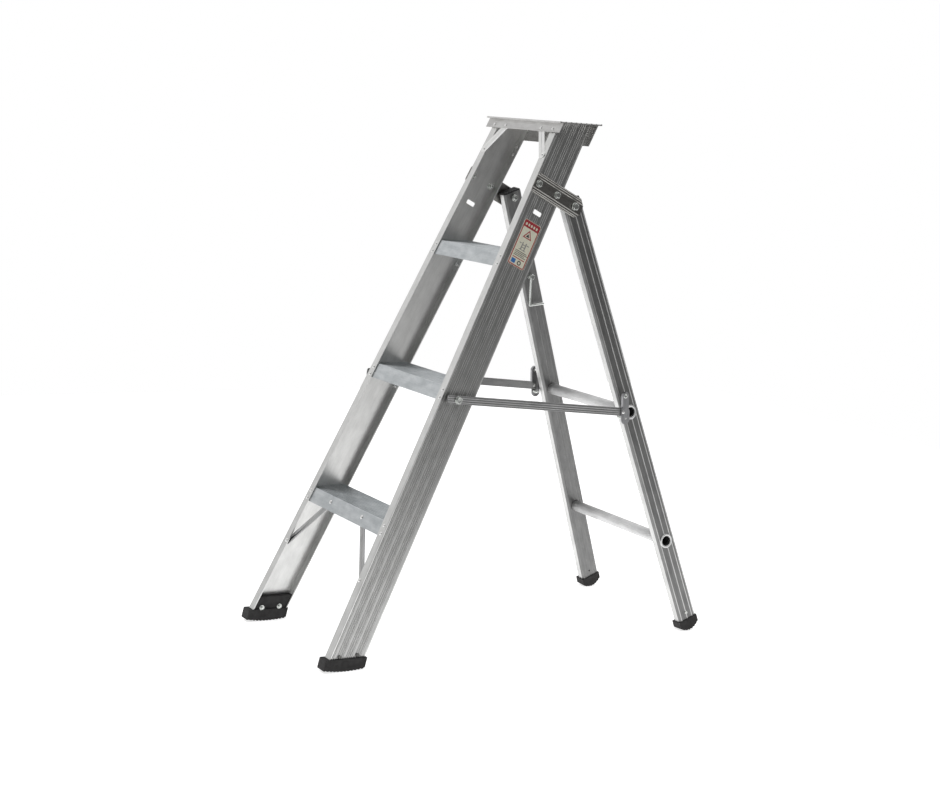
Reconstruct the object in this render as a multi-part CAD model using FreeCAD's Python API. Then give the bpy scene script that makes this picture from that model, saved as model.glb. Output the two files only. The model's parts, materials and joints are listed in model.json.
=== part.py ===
import FreeCAD, Part
import math
import os

# Folding platform step ladder. Millimetres, +Z up, +Y to the rear, +X to the climber's right.
# The origin is on the ground, at the middle of the open ladder.

V = FreeCAD.Vector
X_AXIS = V(1, 0, 0)
Y_AXIS = V(0, 1, 0)
Z_AXIS = V(0, 0, 1)

# ---- the ladder's frames -----------------------------------------------------------------
RISE = 300.0                    # between treads
FIRST_TREAD_Z = 324.0           # ground to the first tread
TREAD_COUNT = 3
DECK_Z = FIRST_TREAD_Z + TREAD_COUNT * RISE
LEAN_FRONT = math.radians(24.75)    # front frame from the vertical
LEAN_REAR = math.radians(21.46)     # rear legs from the vertical
FLARE_FRONT = math.radians(3.33)    # each stile inward, in the front frame's plane
FLARE_REAR = math.radians(4.28)     # each rear leg inward, in the rear frame's plane
FRONT_Y = -508.2                # front plane of the stiles, at the datum height
DATUM_Z = 24.2                  # height where the front frame's own lengths start
PIVOT_U = 1169.3                # along the stile, from the datum
PIVOT_V = 126.0                 # behind the front plane

# ---- stiles ------------------------------------------------------------------------------
STILE_OUT = 209.5               # web's outer face at the datum height
STILE_DEPTH = 82.4
STILE_CORNER = 0.5
STILE_END_Z = 26.0
FLANGE = 23.0
WEB_T = 2.6
FLANGE_T = 2.4
FLUTE_FIRST = 6.0               # first rib behind the front plane
FLUTE_PITCH = 5.27
FLUTE_COUNT = 14                # places for a rib; every fourth, from the second, is plain
FLUTE_BAND = 3.4                # raised band along the web's front and rear edges
FLUTE_H = 0.4                   # rib above the plain face
FLUTE_GROOVE = 0.45             # groove beside the rib, below the plain face
FLUTE_CREST = 0.5               # half widths: rib at its crest, and at its foot
FLUTE_FOOT = 1.35
SLOT_U = 1109.0                 # slot through the web
SLOT_V = 41.0
SLOT_LENGTH = 23.5
SLOT_H = 10.5
SLOT_R = 2.5

# ---- treads, cap, straps and braces ------------------------------------------------------
SHEET = 2.2                     # treads and cap
APRON_H = 36.0
REAR_APRON_H = 32.0
RIB_H = 1.2
RIB_W = 2.6
RIB_SLOPE = 0.3
TREAD_RIBS = 13
TREAD_GAP = 0.3                 # between a tread's end and the web
CAP_HALF = 155.0
CAP_FRONT_LIP = 13.0            # deck in front of the straps
CAP_REAR_LIP = 9.0              # deck behind the rear apron
CAP_FRONT_APRON = 25.5
CAP_REAR_APRON = 52.0
CAP_RIBS = 9
CAP_RIB_W = 3.7
CAP_RIB_H = 1.6
CAP_RIVET_U = 1300.0
CAP_REAR_RIVETS = (1262.0, 1284.0)
STRAP_T = 2.0
STRAP_W = 19.0
STRAP_FOOT = (123.0, 1235.0)    # X and length along the front frame
STRAP_HEAD = (74.0, 1300.0)
BRACE_W = 17.0
BRACE_FOOT = (182.5, 189.0)
BRACE_HEAD = (76.0, 315.5)

# ---- fasteners ---------------------------------------------------------------------------
BOLT_R = 5.0                    # pivot and arm bolts
BOLT_FLATS = 15.0
BOLT_HEAD = 5.5
BOLT_WASHER_R = 9.0
BOLT_WASHER_T = 1.5
FIT = 0.05                      # radial clearance of a turning fit
GAP = 0.4                       # between faces that move past each other
RIVET_R = 2.4
RIVET_HEAD_R = 4.2
RIVET_TAIL = 1.4
RIVET_PACKING_R = 4.8
RIVET_SPACING = 19.0            # between a tread's two rivets, along the stile
BRACE_RIVET_HEAD_R = 4.8
BRACKET_BOLT_R = 3.9
BRACKET_BOLT_V = (12.0, 69.5)
BRACKET_BOLT_FLATS = 12.5
BRACKET_BOLT_HEAD = 5.0

# ---- hinge brackets ----------------------------------------------------------------------
BRACKET_W = 48.0
BRACKET_T = 3.4
BRACKET_FRONT = -1.0
BRACKET_REAR = 149.0
BRACKET_CORNER = 11.0           # radius at the front
BRACKET_CLIP = 13.0             # clipped corners at the rear
BRACKET_BEVEL = 1.4
BRACKET_RIBS = (-18.5, -13.0, 13.0, 18.5)
BAR_RIB_H = 0.6
BAR_RIB_CREST = 0.5
BAR_RIB_FOOT = 1.3

# ---- rear legs, rungs and pivots ---------------------------------------------------------
LEG_OUT = 139.2                 # outer face at the pivot
LEG_W = 27.0
LEG_DEPTH = 48.0
LEG_WALL = 2.2
LEG_NOSE_R = 7.4
LEG_CORNER = 1.0
LEG_TOP = 15.0                  # above the pivot, along the leg
LEG_LENGTH = 1080.0             # below the pivot, along the leg
LEG_RIBS = (0.0, 15.0)          # a third ridge is where the rounded front begins
LEG_RIB_H = 0.5
LEG_RIB_CREST = 0.7
LEG_RIB_FOOT = 1.5
LEG_BAND = 20.6                 # the broad face's plain part ends here, near the rear corner
LEG_CAP_PLUG = 7.0
LEG_CAP_LID = 3.0
LEG_CAP_RIBS = 5
RUNG_R = 13.8
RUNG_BORE = 11.2
RUNG_NECK_R = 12.9
RUNG_RING_R = 17.8
RUNG_RING_T = 1.8
RUNG_FLUTES = 24
RUNG_FLUTE_H = 0.7
UPPER_RUNG = 518.0              # along the leg, below the pivot
LOWER_RUNG = 862.0
PIVOT_HEAD_GAP = 1.0
PIVOT_NUT = 6.0
PIVOT_WASHER_R = 8.0
PIVOT_WASHER_T = 0.8
PIVOT_WASHER_OFF = 0.65         # washer off the leg's face at the pivot's height

# ---- feet --------------------------------------------------------------------------------
FOOT_OVER = 3.0                 # shoe beyond the flanges
FOOT_OVER_WEB = 4.5
FOOT_TOE = 9.6                  # top of the shoe in front of the stile
FOOT_HEEL = 2.6
FOOT_TOE_Z = 30.0
FOOT_HEEL_Z = 27.0
FOOT_SLANT = 5.0                # bottom of the shoe ahead of its top
FOOT_BLOCK_Z = 58.0
FOOT_BLOCK_OFF = 2.0            # block behind the flanges' edges
FOOT_BOLT_R = 2.2
FOOT_BOLT_V = (20.5, 61.5)
FOOT_BOLT_Z = 33.5
FOOT_HEAD_RECESS_R = 5.2        # room in the shoe round a bolt's head
FOOT_NUT_RECESS_R = 6.9         # room in the shoe round its washer and nut
FOOT_RECESS_DEPTH = 12.0
SOLE_R = 300.0                  # the sole is slightly round, lowest behind its middle
SOLE_LOW = 0.6
SOLE_TEETH = 12
SOLE_DEPTH = 1.8
BOOT_OVER = 2.0                 # rear foot beyond the tube, on the broad faces
BOOT_OVER_NARROW = 3.0
BOOT_RIM = 3.0                  # up the tube
BOOT_SOLE_R = 36.0
BOOT_SOLE_UP = 9.5              # middle of the round sole above the tube's end
BOOT_TEETH = 15
BOOT_TOOTH_H = 1.3
BOOT_PLUG = 34.0                # up inside the tube
LEG_SCREW_R = 2.2
LEG_SCREW_HEAD_R = 4.0
LEG_SCREW_S = 1064.0            # along the leg, below the pivot

# ---- spreader arms and their catches -----------------------------------------------------
ARM_IN = 185.6                  # inner face of the spreader arm
ARM_T = 3.6
ARM_H = 19.5
ARM_BOLT_U = 643.0
ARM_BOLT_V = 31.5
ARM_SLOPE = math.radians(5.0)
ARM_NOSE = 27.0                 # arm in front of its bolt
ARM_CORNER = 5.0
ARM_BEVEL = 0.9
ARM_LENGTH = 470.0              # arm behind its bolt
ARM_RIBS = (-5.0, 0.0, 5.0)
ARM_RIB_H = 0.4
SPACER_R = 8.0
PLATE_T = 3.0
PLATE_W = 24.0
PLATE_TOP_W = 21.0
PLATE_UP = 50.0
PLATE_DOWN = 29.0
PLATE_AHEAD = 472.0             # plate's middle behind the arm's bolt
PLATE_TILT = math.radians(4.0)  # plate's top forward
PLATE_RIBS = (-6.5, 0.0, 6.5)
TAB_T = 1.8                     # finger tab folded out along the plate's front edge
TAB_H = 5.0
EYELET_R = 4.0
EYELET_FLANGE_R = 6.5
EYELET_BORE = 2.6
STUD_R = 4.5
STUD_SHANK_R = 3.0
CATCH_PIN_R = 2.5

# ---- hook --------------------------------------------------------------------------------
HOOK_L = 207.0                  # along the leg, below the pivot
HOOK_ROD_R = 3.0
HOOK_EYE_R = 7.5
HOOK_BOLT_R = 4.0
HOOK_DROP = 72.0
HOOK_FOOT = 38.0
HOOK_RISE = 5.0
HOOK_SET = 4.0                  # lower end of the rod behind its eye
HOOK_OFF = 7.0                  # rod's middle off the leg's inner face

# ---- label -------------------------------------------------------------------------------
LABEL_U = (975.5, 1085.5)
LABEL_V = 17.0
LABEL_W = 49.0
LABEL_T = 0.3

os.makedirs("parts", exist_ok=True)


# ---- frames ------------------------------------------------------------------------------
def placement(position, axis, angle):
    return FreeCAD.Placement(position, FreeCAD.Rotation(axis, math.degrees(angle)))


FRONT = placement(V(0, FRONT_Y, DATUM_Z), X_AXIS, -LEAN_FRONT)
STILE = FRONT.multiply(placement(V(STILE_OUT, 0, 0), Y_AXIS, -FLARE_FRONT))
PIVOT = FRONT.multVec(V(0, PIVOT_V, PIVOT_U))
REAR = placement(PIVOT, X_AXIS, LEAN_REAR)
LEG = REAR.multiply(placement(V(LEG_OUT, 0, 0), Y_AXIS, -FLARE_REAR))


def put(shape, frame):
    return shape.transformed(frame.toMatrix(), True)


def mirror(shape):
    return shape.mirror(V(0, 0, 0), X_AXIS)


def save(name, shape):
    solids = shape.Solids
    for solid in solids:
        if not solid.isValid() or solid.Volume <= 0:
            raise ValueError("bad solid in " + name)
    body = solids[0] if len(solids) == 1 else Part.makeCompound(solids)
    body.exportStep("parts/" + name + ".step")


def save_pair(name, right_shape):
    save(name + "_right", right_shape)
    save(name + "_left", mirror(right_shape))


# ---- shape helpers -----------------------------------------------------------------------
def prism(points, direction):
    wire = Part.makePolygon(points + [points[0]])
    return Part.Face(wire).extrude(direction)


def cylinder(radius, start, direction, length):
    return Part.makeCylinder(radius, length, start, direction)


def hexagon(across_flats, start, direction, length):
    radius = across_flats / math.sqrt(3)
    turn = FreeCAD.Rotation(Z_AXIS, direction)
    points = []
    for i in range(6):
        angle = math.radians(60 * i)
        points.append(start + turn.multVec(V(radius * math.cos(angle), radius * math.sin(angle), 0)))
    return prism(points, V(direction).normalize() * length)


def rivet(start, direction, grip, head=RIVET_HEAD_R, packing=None):
    """A dome head outside, a shank through the grip and a flat tail behind it.

    packing is the start and length of a wider part inside the grip."""
    way = V(direction).normalize()
    dome_r = head * 1.35
    drop = math.sqrt(dome_r ** 2 - head ** 2)
    dome = Part.makeSphere(dome_r, start + way * drop)
    shape = dome.cut(cylinder(dome_r * 2, start, way, dome_r * 3))
    shape = shape.fuse(cylinder(RIVET_R, start - way * 0.4, way, grip + 0.8))
    shape = shape.fuse(cylinder(RIVET_R * 1.5, start + way * grip, way, RIVET_TAIL))
    if packing:
        shape = shape.fuse(cylinder(RIVET_PACKING_R, start + way * packing[0], way, packing[1]))
    return shape.removeSplitter()


def hex_bolt(start, direction, grip, radius, flats, head, washer, nut, tail):
    """Head and washer outside the grip; washer, nut and the end of the thread behind it.

    washer is its radius and thickness."""
    way = V(direction).normalize()
    behind = start + way * grip
    washer_r, washer_t = washer
    shape = cylinder(radius, start, way, grip + tail)
    shape = shape.fuse(cylinder(washer_r, start - way * washer_t, way, washer_t))
    shape = shape.fuse(hexagon(flats, start - way * (washer_t + head), way, head))
    shape = shape.fuse(cylinder(washer_r, behind, way, washer_t))
    shape = shape.fuse(hexagon(flats, behind + way * washer_t, way, nut))
    return shape.removeSplitter()


def flat_bar(a, b, width, thickness, normal):
    """A flat strip with round ends, from centre a to centre b, growing along normal."""
    way = V(normal).normalize()
    along = (b - a).normalize()
    side = along.cross(way) * (width / 2)
    bar = prism([a + side, b + side, b - side, a - side], way * thickness)
    bar = bar.fuse(cylinder(width / 2, a, way, thickness))
    bar = bar.fuse(cylinder(width / 2, b, way, thickness))
    return bar.removeSplitter()


def flange_middle(u):
    """X of the middle of the right front flange."""
    return STILE_OUT - u * math.tan(FLARE_FRONT) - FLANGE / 2


def slope_point(z, v):
    """World Y of the front frame at height z and depth v behind the front plane."""
    return FRONT_Y + (z - DATUM_Z) * math.tan(LEAN_FRONT) + v / math.cos(LEAN_FRONT)


def datum_length(z):
    """Length along the front plane from the datum to height z."""
    return (z - DATUM_Z) / math.cos(LEAN_FRONT)


def slab(z0, z1):
    return Part.makeBox(1200, 2400, z1 - z0, V(-600, -1200, z0))


# ---- stiles ------------------------------------------------------------------------------
def ribbed_face(crest, plain, centres, crest_half, foot_half, groove=0.0):
    """Points up a plain face that has a rib at each centre, with a groove at the rib's foot."""
    deep = plain - math.copysign(groove, crest - plain)
    points = []
    for c in centres:
        if groove:
            points.append((plain, c - foot_half - groove))
        points.append((deep, c - foot_half))
        points.append((crest, c - crest_half))
        points.append((crest, c + crest_half))
        points.append((deep, c + foot_half))
        if groove:
            points.append((plain, c + foot_half + groove))
    return points


def flute_centres():
    return [FLUTE_FIRST + i * FLUTE_PITCH for i in range(FLUTE_COUNT) if i % 4 != 1]


def stile_blank():
    """The channel as extruded, open inward, with a ribbed web."""
    length = DECK_Z / math.cos(LEAN_FRONT) + 60
    depth = STILE_DEPTH
    corner = STILE_CORNER
    ribs = ribbed_face(0, -FLUTE_H, flute_centres(), FLUTE_CREST, FLUTE_FOOT, FLUTE_GROOVE)
    band = FLUTE_BAND
    outline = [(-FLANGE, 0), (-corner, 0), (0, corner), (0, band), (-FLUTE_H, band + FLUTE_H)]
    outline += ribs
    outline += [(-FLUTE_H, depth - band - FLUTE_H), (0, depth - band)]
    outline += [(0, depth - corner), (-corner, depth), (-FLANGE, depth)]
    outline += [(-FLANGE, depth - FLANGE_T), (-WEB_T, depth - FLANGE_T)]
    outline += [(-WEB_T, FLANGE_T), (-FLANGE, FLANGE_T)]
    points = [V(x, y, -40) for x, y in outline]
    return prism(points, V(0, 0, length))


DECK_UNDER = DECK_Z - CAP_RIB_H - SHEET


def slot_cutter():
    a = V(-20, SLOT_V - SLOT_LENGTH / 2, SLOT_U / math.cos(FLARE_FRONT) - SLOT_H / 2)
    box = Part.makeBox(40, SLOT_LENGTH, SLOT_H, a)
    edges = [e for e in box.Edges if abs(e.BoundBox.XLength - 40) < 0.01]
    return box.makeFillet(SLOT_R, edges)


def tread_heights():
    return [FIRST_TREAD_Z + RISE * i for i in range(TREAD_COUNT)]


def rivet_rows(z):
    """Lengths along the stile of a tread's two rivets."""
    middle = datum_length(z) - APRON_H / 2 - 1
    return (middle - RIVET_SPACING / 2, middle + RIVET_SPACING / 2)


ARM_BOLT = FRONT.multVec(V(0, ARM_BOLT_V, ARM_BOLT_U))


def flange_hole(x, u, rear=False):
    """A cutter for a rivet through the front or rear flange, in the front frame."""
    v = STILE_DEPTH - FLANGE_T if rear else 0
    return cylinder(RIVET_R, V(x, v - 1, u), Y_AXIS, FLANGE_T + 2)


def stile():
    shape = put(stile_blank().cut(slot_cutter()), STILE)
    shape = shape.common(slab(STILE_END_Z, DECK_UNDER))
    cutters = []
    for z in tread_heights():
        for u in rivet_rows(z):
            cutters.append(flange_hole(flange_middle(u), u))
            cutters.append(flange_hole(flange_middle(u), u, rear=True))
    cutters.append(flange_hole(*BRACE_FOOT))
    cutters.append(flange_hole(*STRAP_FOOT))
    cutters.append(flange_hole(flange_middle(CAP_RIVET_U), CAP_RIVET_U))
    for u in CAP_REAR_RIVETS:
        cutters.append(flange_hole(flange_middle(u), u, rear=True))
    cutters = [put(c, FRONT) for c in cutters]
    for v in BRACKET_BOLT_V:
        start = V(-10, v, PIVOT_U / math.cos(FLARE_FRONT))
        cutters.append(put(cylinder(BRACKET_BOLT_R, start, X_AXIS, 20), STILE))
    for v in FOOT_BOLT_V:
        start = V(-10, v, foot_bolt_s(v))
        cutters.append(put(cylinder(FOOT_BOLT_R, start, X_AXIS, 20), STILE))
    cutters.append(cylinder(BOLT_R, ARM_BOLT + V(150, 0, 0), X_AXIS, 60))
    return shape.cut(cutters)


# ---- treads ------------------------------------------------------------------------------
def ribbed_top(y0, y1, z_top, count, width, height):
    """Outline points along a ribbed top, from front to rear."""
    pitch = (y1 - y0 - width) / (count - 1)
    base = z_top - height
    points = []
    for i in range(count):
        start = y0 + i * pitch
        points.append((start, base if i else z_top))
        if i:
            points.append((start + RIB_SLOPE, z_top))
        points.append((start + width - RIB_SLOPE, z_top))
        points.append((start + width, base if i < count - 1 else z_top))
    return points


def between_webs():
    """The space between the two inner web faces, less a small gap at each end."""
    inner = WEB_T / math.cos(FLARE_FRONT) + TREAD_GAP
    low = STILE_OUT - inner
    high = STILE_OUT - inner - 1300 * math.tan(FLARE_FRONT)
    points = [V(-low, -200, 0), V(low, -200, 0), V(high, -200, 1300), V(-high, -200, 1300)]
    return put(prism(points, V(0, 600, 0)), FRONT)


def tread(z):
    slope = V(0, -math.sin(LEAN_FRONT), -math.cos(LEAN_FRONT))
    front = slope_point(z, FLANGE_T)
    rear = slope_point(z, STILE_DEPTH - FLANGE_T)
    thick = SHEET / math.cos(LEAN_FRONT)
    top = ribbed_top(front, rear, z, TREAD_RIBS, RIB_W, RIB_H)
    under = z - RIB_H - SHEET

    def down(y, height, start):
        way = slope * height
        return (y + way.y, start + way.z)

    inner_front = slope_point(under, FLANGE_T) + thick
    inner_rear = slope_point(under, STILE_DEPTH - FLANGE_T) - thick
    apron_low = down(front, APRON_H, z)
    rear_low = down(rear, REAR_APRON_H, z)
    outline = top + [rear_low, (rear_low[0] - thick, rear_low[1])]
    outline += [(inner_rear, under), (inner_front, under)]
    outline += [(apron_low[0] + thick, apron_low[1]), apron_low]
    points = [V(-260, y, zz) for y, zz in outline]
    shape = prism(points, V(520, 0, 0)).common(between_webs())
    cutters = []
    for u in rivet_rows(z):
        x = flange_middle(u)
        for side in (-1, 1):
            cutters.append(put(cylinder(RIVET_R, V(side * x, -1, u), Y_AXIS, 10), FRONT))
            cutters.append(put(cylinder(RIVET_R, V(side * x, STILE_DEPTH - 9, u), Y_AXIS, 10), FRONT))
    if z == FIRST_TREAD_Z:
        for side in (-1, 1):
            start = V(side * BRACE_HEAD[0], -1, BRACE_HEAD[1])
            cutters.append(put(cylinder(RIVET_R, start, Y_AXIS, 12), FRONT))
    return shape.cut(cutters)


def tread_rivets():
    rivets = []
    grip = FLANGE_T + SHEET
    for z in tread_heights():
        for u in rivet_rows(z):
            x = flange_middle(u)
            for side in (-1, 1):
                rivets.append(rivet(V(side * x, 0, u), Y_AXIS, grip))
                rivets.append(rivet(V(side * x, STILE_DEPTH, u), V(0, -1, 0), grip))
    return put(Part.makeCompound(rivets), FRONT)


# ---- cap (the platform) ------------------------------------------------------------------
def cap():
    slope = math.tan(LEAN_FRONT)
    thick = SHEET / math.cos(LEAN_FRONT)
    front_face = slope_point(DECK_Z, -STRAP_T) - thick
    rear_face = slope_point(DECK_Z, STILE_DEPTH) + thick
    y0 = front_face - CAP_FRONT_LIP + thick
    y1 = rear_face + CAP_REAR_LIP
    under = DECK_UNDER

    def follow(y, z):
        return (y - (DECK_Z - z) * slope, z)

    top = ribbed_top(y0, y1, DECK_Z, CAP_RIBS, CAP_RIB_W, CAP_RIB_H)
    rear_low = DECK_Z - CAP_REAR_APRON
    front_low = DECK_Z - CAP_FRONT_APRON
    outline = top + [(y1, under), follow(rear_face, under), follow(rear_face, rear_low)]
    outline += [follow(rear_face - thick, rear_low), follow(rear_face - thick, under)]
    outline += [follow(front_face + thick, under), follow(front_face + thick, front_low)]
    outline += [follow(front_face, front_low), follow(front_face, under), (y0, under)]
    shape = prism([V(-CAP_HALF, y, z) for y, z in outline], V(2 * CAP_HALF, 0, 0))
    cutters = []
    for side in (-1, 1):
        for x in (flange_middle(CAP_RIVET_U), STRAP_HEAD[0]):
            start = V(side * x, -8, CAP_RIVET_U)
            cutters.append(put(cylinder(RIVET_R, start, Y_AXIS, 10), FRONT))
        for u in CAP_REAR_RIVETS:
            start = V(side * flange_middle(u), STILE_DEPTH - 1, u)
            cutters.append(put(cylinder(RIVET_R, start, Y_AXIS, 6), FRONT))
    return shape.cut(cutters)


def deck_middle():
    """Y of the middle of the deck's middle rib."""
    thick = SHEET / math.cos(LEAN_FRONT)
    y0 = slope_point(DECK_Z, -STRAP_T) - CAP_FRONT_LIP
    y1 = slope_point(DECK_Z, STILE_DEPTH) + thick + CAP_REAR_LIP
    return (y0 + y1) / 2


def cap_rivets():
    rivets = []
    outer = -STRAP_T - SHEET
    for side in (-1, 1):
        start = V(side * flange_middle(CAP_RIVET_U), outer, CAP_RIVET_U)
        rivets.append(rivet(start, Y_AXIS, SHEET + STRAP_T + FLANGE_T, packing=(SHEET, STRAP_T)))
        rivets.append(rivet(V(side * STRAP_HEAD[0], outer, STRAP_HEAD[1]), Y_AXIS, SHEET + STRAP_T))
        foot = V(side * STRAP_FOOT[0], -STRAP_T, STRAP_FOOT[1])
        rivets.append(rivet(foot, Y_AXIS, STRAP_T + FLANGE_T))
        for u in CAP_REAR_RIVETS:
            start = V(side * flange_middle(u), STILE_DEPTH + SHEET, u)
            rivets.append(rivet(start, V(0, -1, 0), SHEET + FLANGE_T))
    return put(Part.makeCompound(rivets), FRONT)


def cap_strap():
    head = V(STRAP_HEAD[0], -STRAP_T, STRAP_HEAD[1])
    foot = V(STRAP_FOOT[0], -STRAP_T, STRAP_FOOT[1])
    shape = flat_bar(head, foot, STRAP_W, STRAP_T, Y_AXIS)
    for end in (head, foot):
        shape = shape.cut(cylinder(RIVET_R, end - V(0, 1, 0), Y_AXIS, STRAP_T + 2))
    start = V(flange_middle(CAP_RIVET_U), -STRAP_T - 1, CAP_RIVET_U)
    packing = cylinder(RIVET_PACKING_R + 0.3, start, Y_AXIS, STRAP_T + 2)
    return put(shape.cut(packing), FRONT)


# ---- braces under the first tread --------------------------------------------------------
BRACE_V = FLANGE_T + SHEET


def brace():
    head = V(BRACE_HEAD[0], BRACE_V, BRACE_HEAD[1])
    foot = V(BRACE_FOOT[0], BRACE_V, BRACE_FOOT[1])
    shape = flat_bar(head, foot, BRACE_W, STRAP_T, Y_AXIS)
    for end in (head, foot):
        shape = shape.cut(cylinder(RIVET_R, end - V(0, 1, 0), Y_AXIS, STRAP_T + 2))
    return put(shape, FRONT)


def brace_rivets():
    """At each end of a brace: one through the tread's apron, one through the flange."""
    rivets = []
    for side in (-1, 1):
        head = V(side * BRACE_HEAD[0], FLANGE_T, BRACE_HEAD[1])
        rivets.append(rivet(head, Y_AXIS, SHEET + STRAP_T, BRACE_RIVET_HEAD_R))
        foot = V(side * BRACE_FOOT[0], 0, BRACE_FOOT[1])
        rivets.append(rivet(foot, Y_AXIS, BRACE_V + STRAP_T, packing=(FLANGE_T, SHEET)))
    return put(Part.makeCompound(rivets), FRONT)


# ---- hinge brackets ----------------------------------------------------------------------
def bracket_blank(s):
    """The bar's outline, round at the front and clipped at the rear, its outer edge bevelled."""
    half = BRACKET_W / 2
    front = BRACKET_FRONT
    rear = BRACKET_REAR
    corner = BRACKET_CORNER
    clip = BRACKET_CLIP
    side = [V(0, front + corner, s - half), V(0, rear - clip, s - half), V(0, rear, s - half + clip)]
    side += [V(0, rear, s + half - clip), V(0, rear - clip, s + half), V(0, front + corner, s + half)]
    side += [V(0, front, s + half - corner), V(0, front, s - half + corner)]
    blank = prism(side, V(BRACKET_T, 0, 0))
    for z in (s - half + corner, s + half - corner):
        blank = blank.fuse(cylinder(corner, V(0, front + corner, z), X_AXIS, BRACKET_T))
    blank = blank.removeSplitter()
    outer = [e for e in blank.Edges if e.BoundBox.XMin > BRACKET_T - 0.01]
    return blank.makeChamfer(BRACKET_BEVEL, outer)


def bracket():
    """A ribbed flat bar across the web, with the rear leg's pivot behind the stile."""
    s = PIVOT_U / math.cos(FLARE_FRONT)
    half = BRACKET_W / 2
    plain = BRACKET_T - BAR_RIB_H
    ribs = ribbed_face(BRACKET_T, plain, BRACKET_RIBS, BAR_RIB_CREST, BAR_RIB_FOOT)
    outline = [(0, -half), (BRACKET_T, -half), (BRACKET_T, -half + 2), (plain, -half + 2.6)] + ribs
    outline += [(plain, half - 2.6), (BRACKET_T, half - 2), (BRACKET_T, half), (0, half)]
    points = [V(x, BRACKET_FRONT, s + z) for x, z in outline]
    bar = prism(points, V(0, BRACKET_REAR - BRACKET_FRONT, 0))
    shape = bar.common(bracket_blank(s))
    for v in BRACKET_BOLT_V:
        shape = shape.cut(cylinder(BRACKET_BOLT_R, V(-1, v, s), X_AXIS, BRACKET_T + 2))
    shape = put(shape, STILE)
    return shape.cut(cylinder(BOLT_R + FIT, PIVOT + V(LEG_OUT - 20, 0, 0), X_AXIS, 60))


def bracket_bolts():
    bolts = []
    s = PIVOT_U / math.cos(FLARE_FRONT)
    grip = BRACKET_T - BAR_RIB_H + WEB_T
    for v in BRACKET_BOLT_V:
        start = V(BRACKET_T - BAR_RIB_H, v, s)
        bolt = hex_bolt(start, V(-1, 0, 0), grip, BRACKET_BOLT_R, BRACKET_BOLT_FLATS,
                        BRACKET_BOLT_HEAD, (8.5, 1.3), 5.2, 10.0)
        bolts.append(bolt)
    right = put(Part.makeCompound(bolts), STILE)
    return Part.makeCompound([right, mirror(right)])


# ---- feet of the stiles ------------------------------------------------------------------
def foot_bolt_s(v):
    """Length along the stile where depth v is at the height of the foot bolts."""
    return (FOOT_BOLT_Z - DATUM_Z + v * math.sin(LEAN_FRONT)) / math.cos(LEAN_FRONT)


def sole_outline():
    """The shoe from the side: slanted ends and a round, toothed sole that touches the ground."""
    toe = slope_point(STILE_END_Z, 0) - FOOT_TOE
    heel = slope_point(STILE_END_Z, STILE_DEPTH) + FOOT_HEEL
    start = toe - FOOT_SLANT
    pitch = (heel - toe) / SOLE_TEETH
    low = start + (heel - toe) * SOLE_LOW
    sole = []
    for i in range(SOLE_TEETH):
        for share, depth in ((0.0, 0), (0.55, 0), (0.65, SOLE_DEPTH), (0.9, SOLE_DEPTH)):
            y = start + (i + share) * pitch
            sole.append((y, (y - low) ** 2 / (2 * SOLE_R) + depth))
    end = start + SOLE_TEETH * pitch
    sole.append((end, (end - low) ** 2 / (2 * SOLE_R) + SOLE_DEPTH))
    lowest = min(z for y, z in sole)
    sole = [(y, z - lowest) for y, z in sole]
    return [(toe, FOOT_TOE_Z)] + sole + [(heel, FOOT_HEEL_Z)]


def front_foot():
    """A rubber shoe round the stile's end, with a block up inside the channel."""
    out = STILE_OUT + FOOT_OVER_WEB
    inner = STILE_OUT - FLANGE - FOOT_OVER
    sole = prism([V(inner, y, z) for y, z in sole_outline()], V(out - inner, 0, 0))
    sole = sole.cut(put(stile_blank(), STILE).common(slab(STILE_END_Z, FOOT_BLOCK_Z)))
    v0 = FLANGE_T + 0.2
    v1 = STILE_DEPTH - FLANGE_T - 0.2
    width = FLANGE - WEB_T - FOOT_BLOCK_OFF
    box = Part.makeBox(width, v1 - v0, 160, V(-FLANGE + FOOT_BLOCK_OFF, v0, -80))
    block = put(box, STILE).common(slab(STILE_END_Z - 4, FOOT_BLOCK_Z))
    shape = sole.fuse(block).removeSplitter()
    for v in FOOT_BOLT_V:
        start = V(-FLANGE, v, foot_bolt_s(v))
        shape = shape.cut(put(cylinder(FOOT_BOLT_R, start, X_AXIS, FLANGE), STILE))
        head = V(0, v, foot_bolt_s(v))
        recess = cylinder(FOOT_HEAD_RECESS_R, head, X_AXIS, FOOT_RECESS_DEPTH)
        shape = shape.cut(put(recess, STILE))
        nut = head + V(-FLANGE + FOOT_BLOCK_OFF - FOOT_RECESS_DEPTH, 0, 0)
        recess = cylinder(FOOT_NUT_RECESS_R, nut, X_AXIS, FOOT_RECESS_DEPTH)
        shape = shape.cut(put(recess, STILE))
    return shape


def foot_bolts():
    """Bolts through web and block, with a washer and nut on the inner side."""
    bolts = []
    for v in FOOT_BOLT_V:
        start = V(0, v, foot_bolt_s(v))
        inner = start + V(-FLANGE + FOOT_BLOCK_OFF, 0, 0)
        bolt = cylinder(FOOT_BOLT_R, inner + V(-5.6, 0, 0), X_AXIS, FLANGE - FOOT_BLOCK_OFF + 5.7)
        bolt = bolt.fuse(hexagon(8.0, start, X_AXIS, 2.6))
        bolt = bolt.fuse(cylinder(6.4, inner + V(-1.2, 0, 0), X_AXIS, 1.2))
        bolt = bolt.fuse(hexagon(8.0, inner + V(-4.4, 0, 0), X_AXIS, 3.2))
        bolts.append(bolt)
    right = put(Part.makeCompound(bolts), STILE)
    return Part.makeCompound([right, mirror(right)])


# ---- label -------------------------------------------------------------------------------
def label():
    start, end = [u / math.cos(FLARE_FRONT) for u in LABEL_U]
    return put(Part.makeBox(LABEL_T, LABEL_W, end - start, V(0, LABEL_V, start)), STILE)


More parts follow.
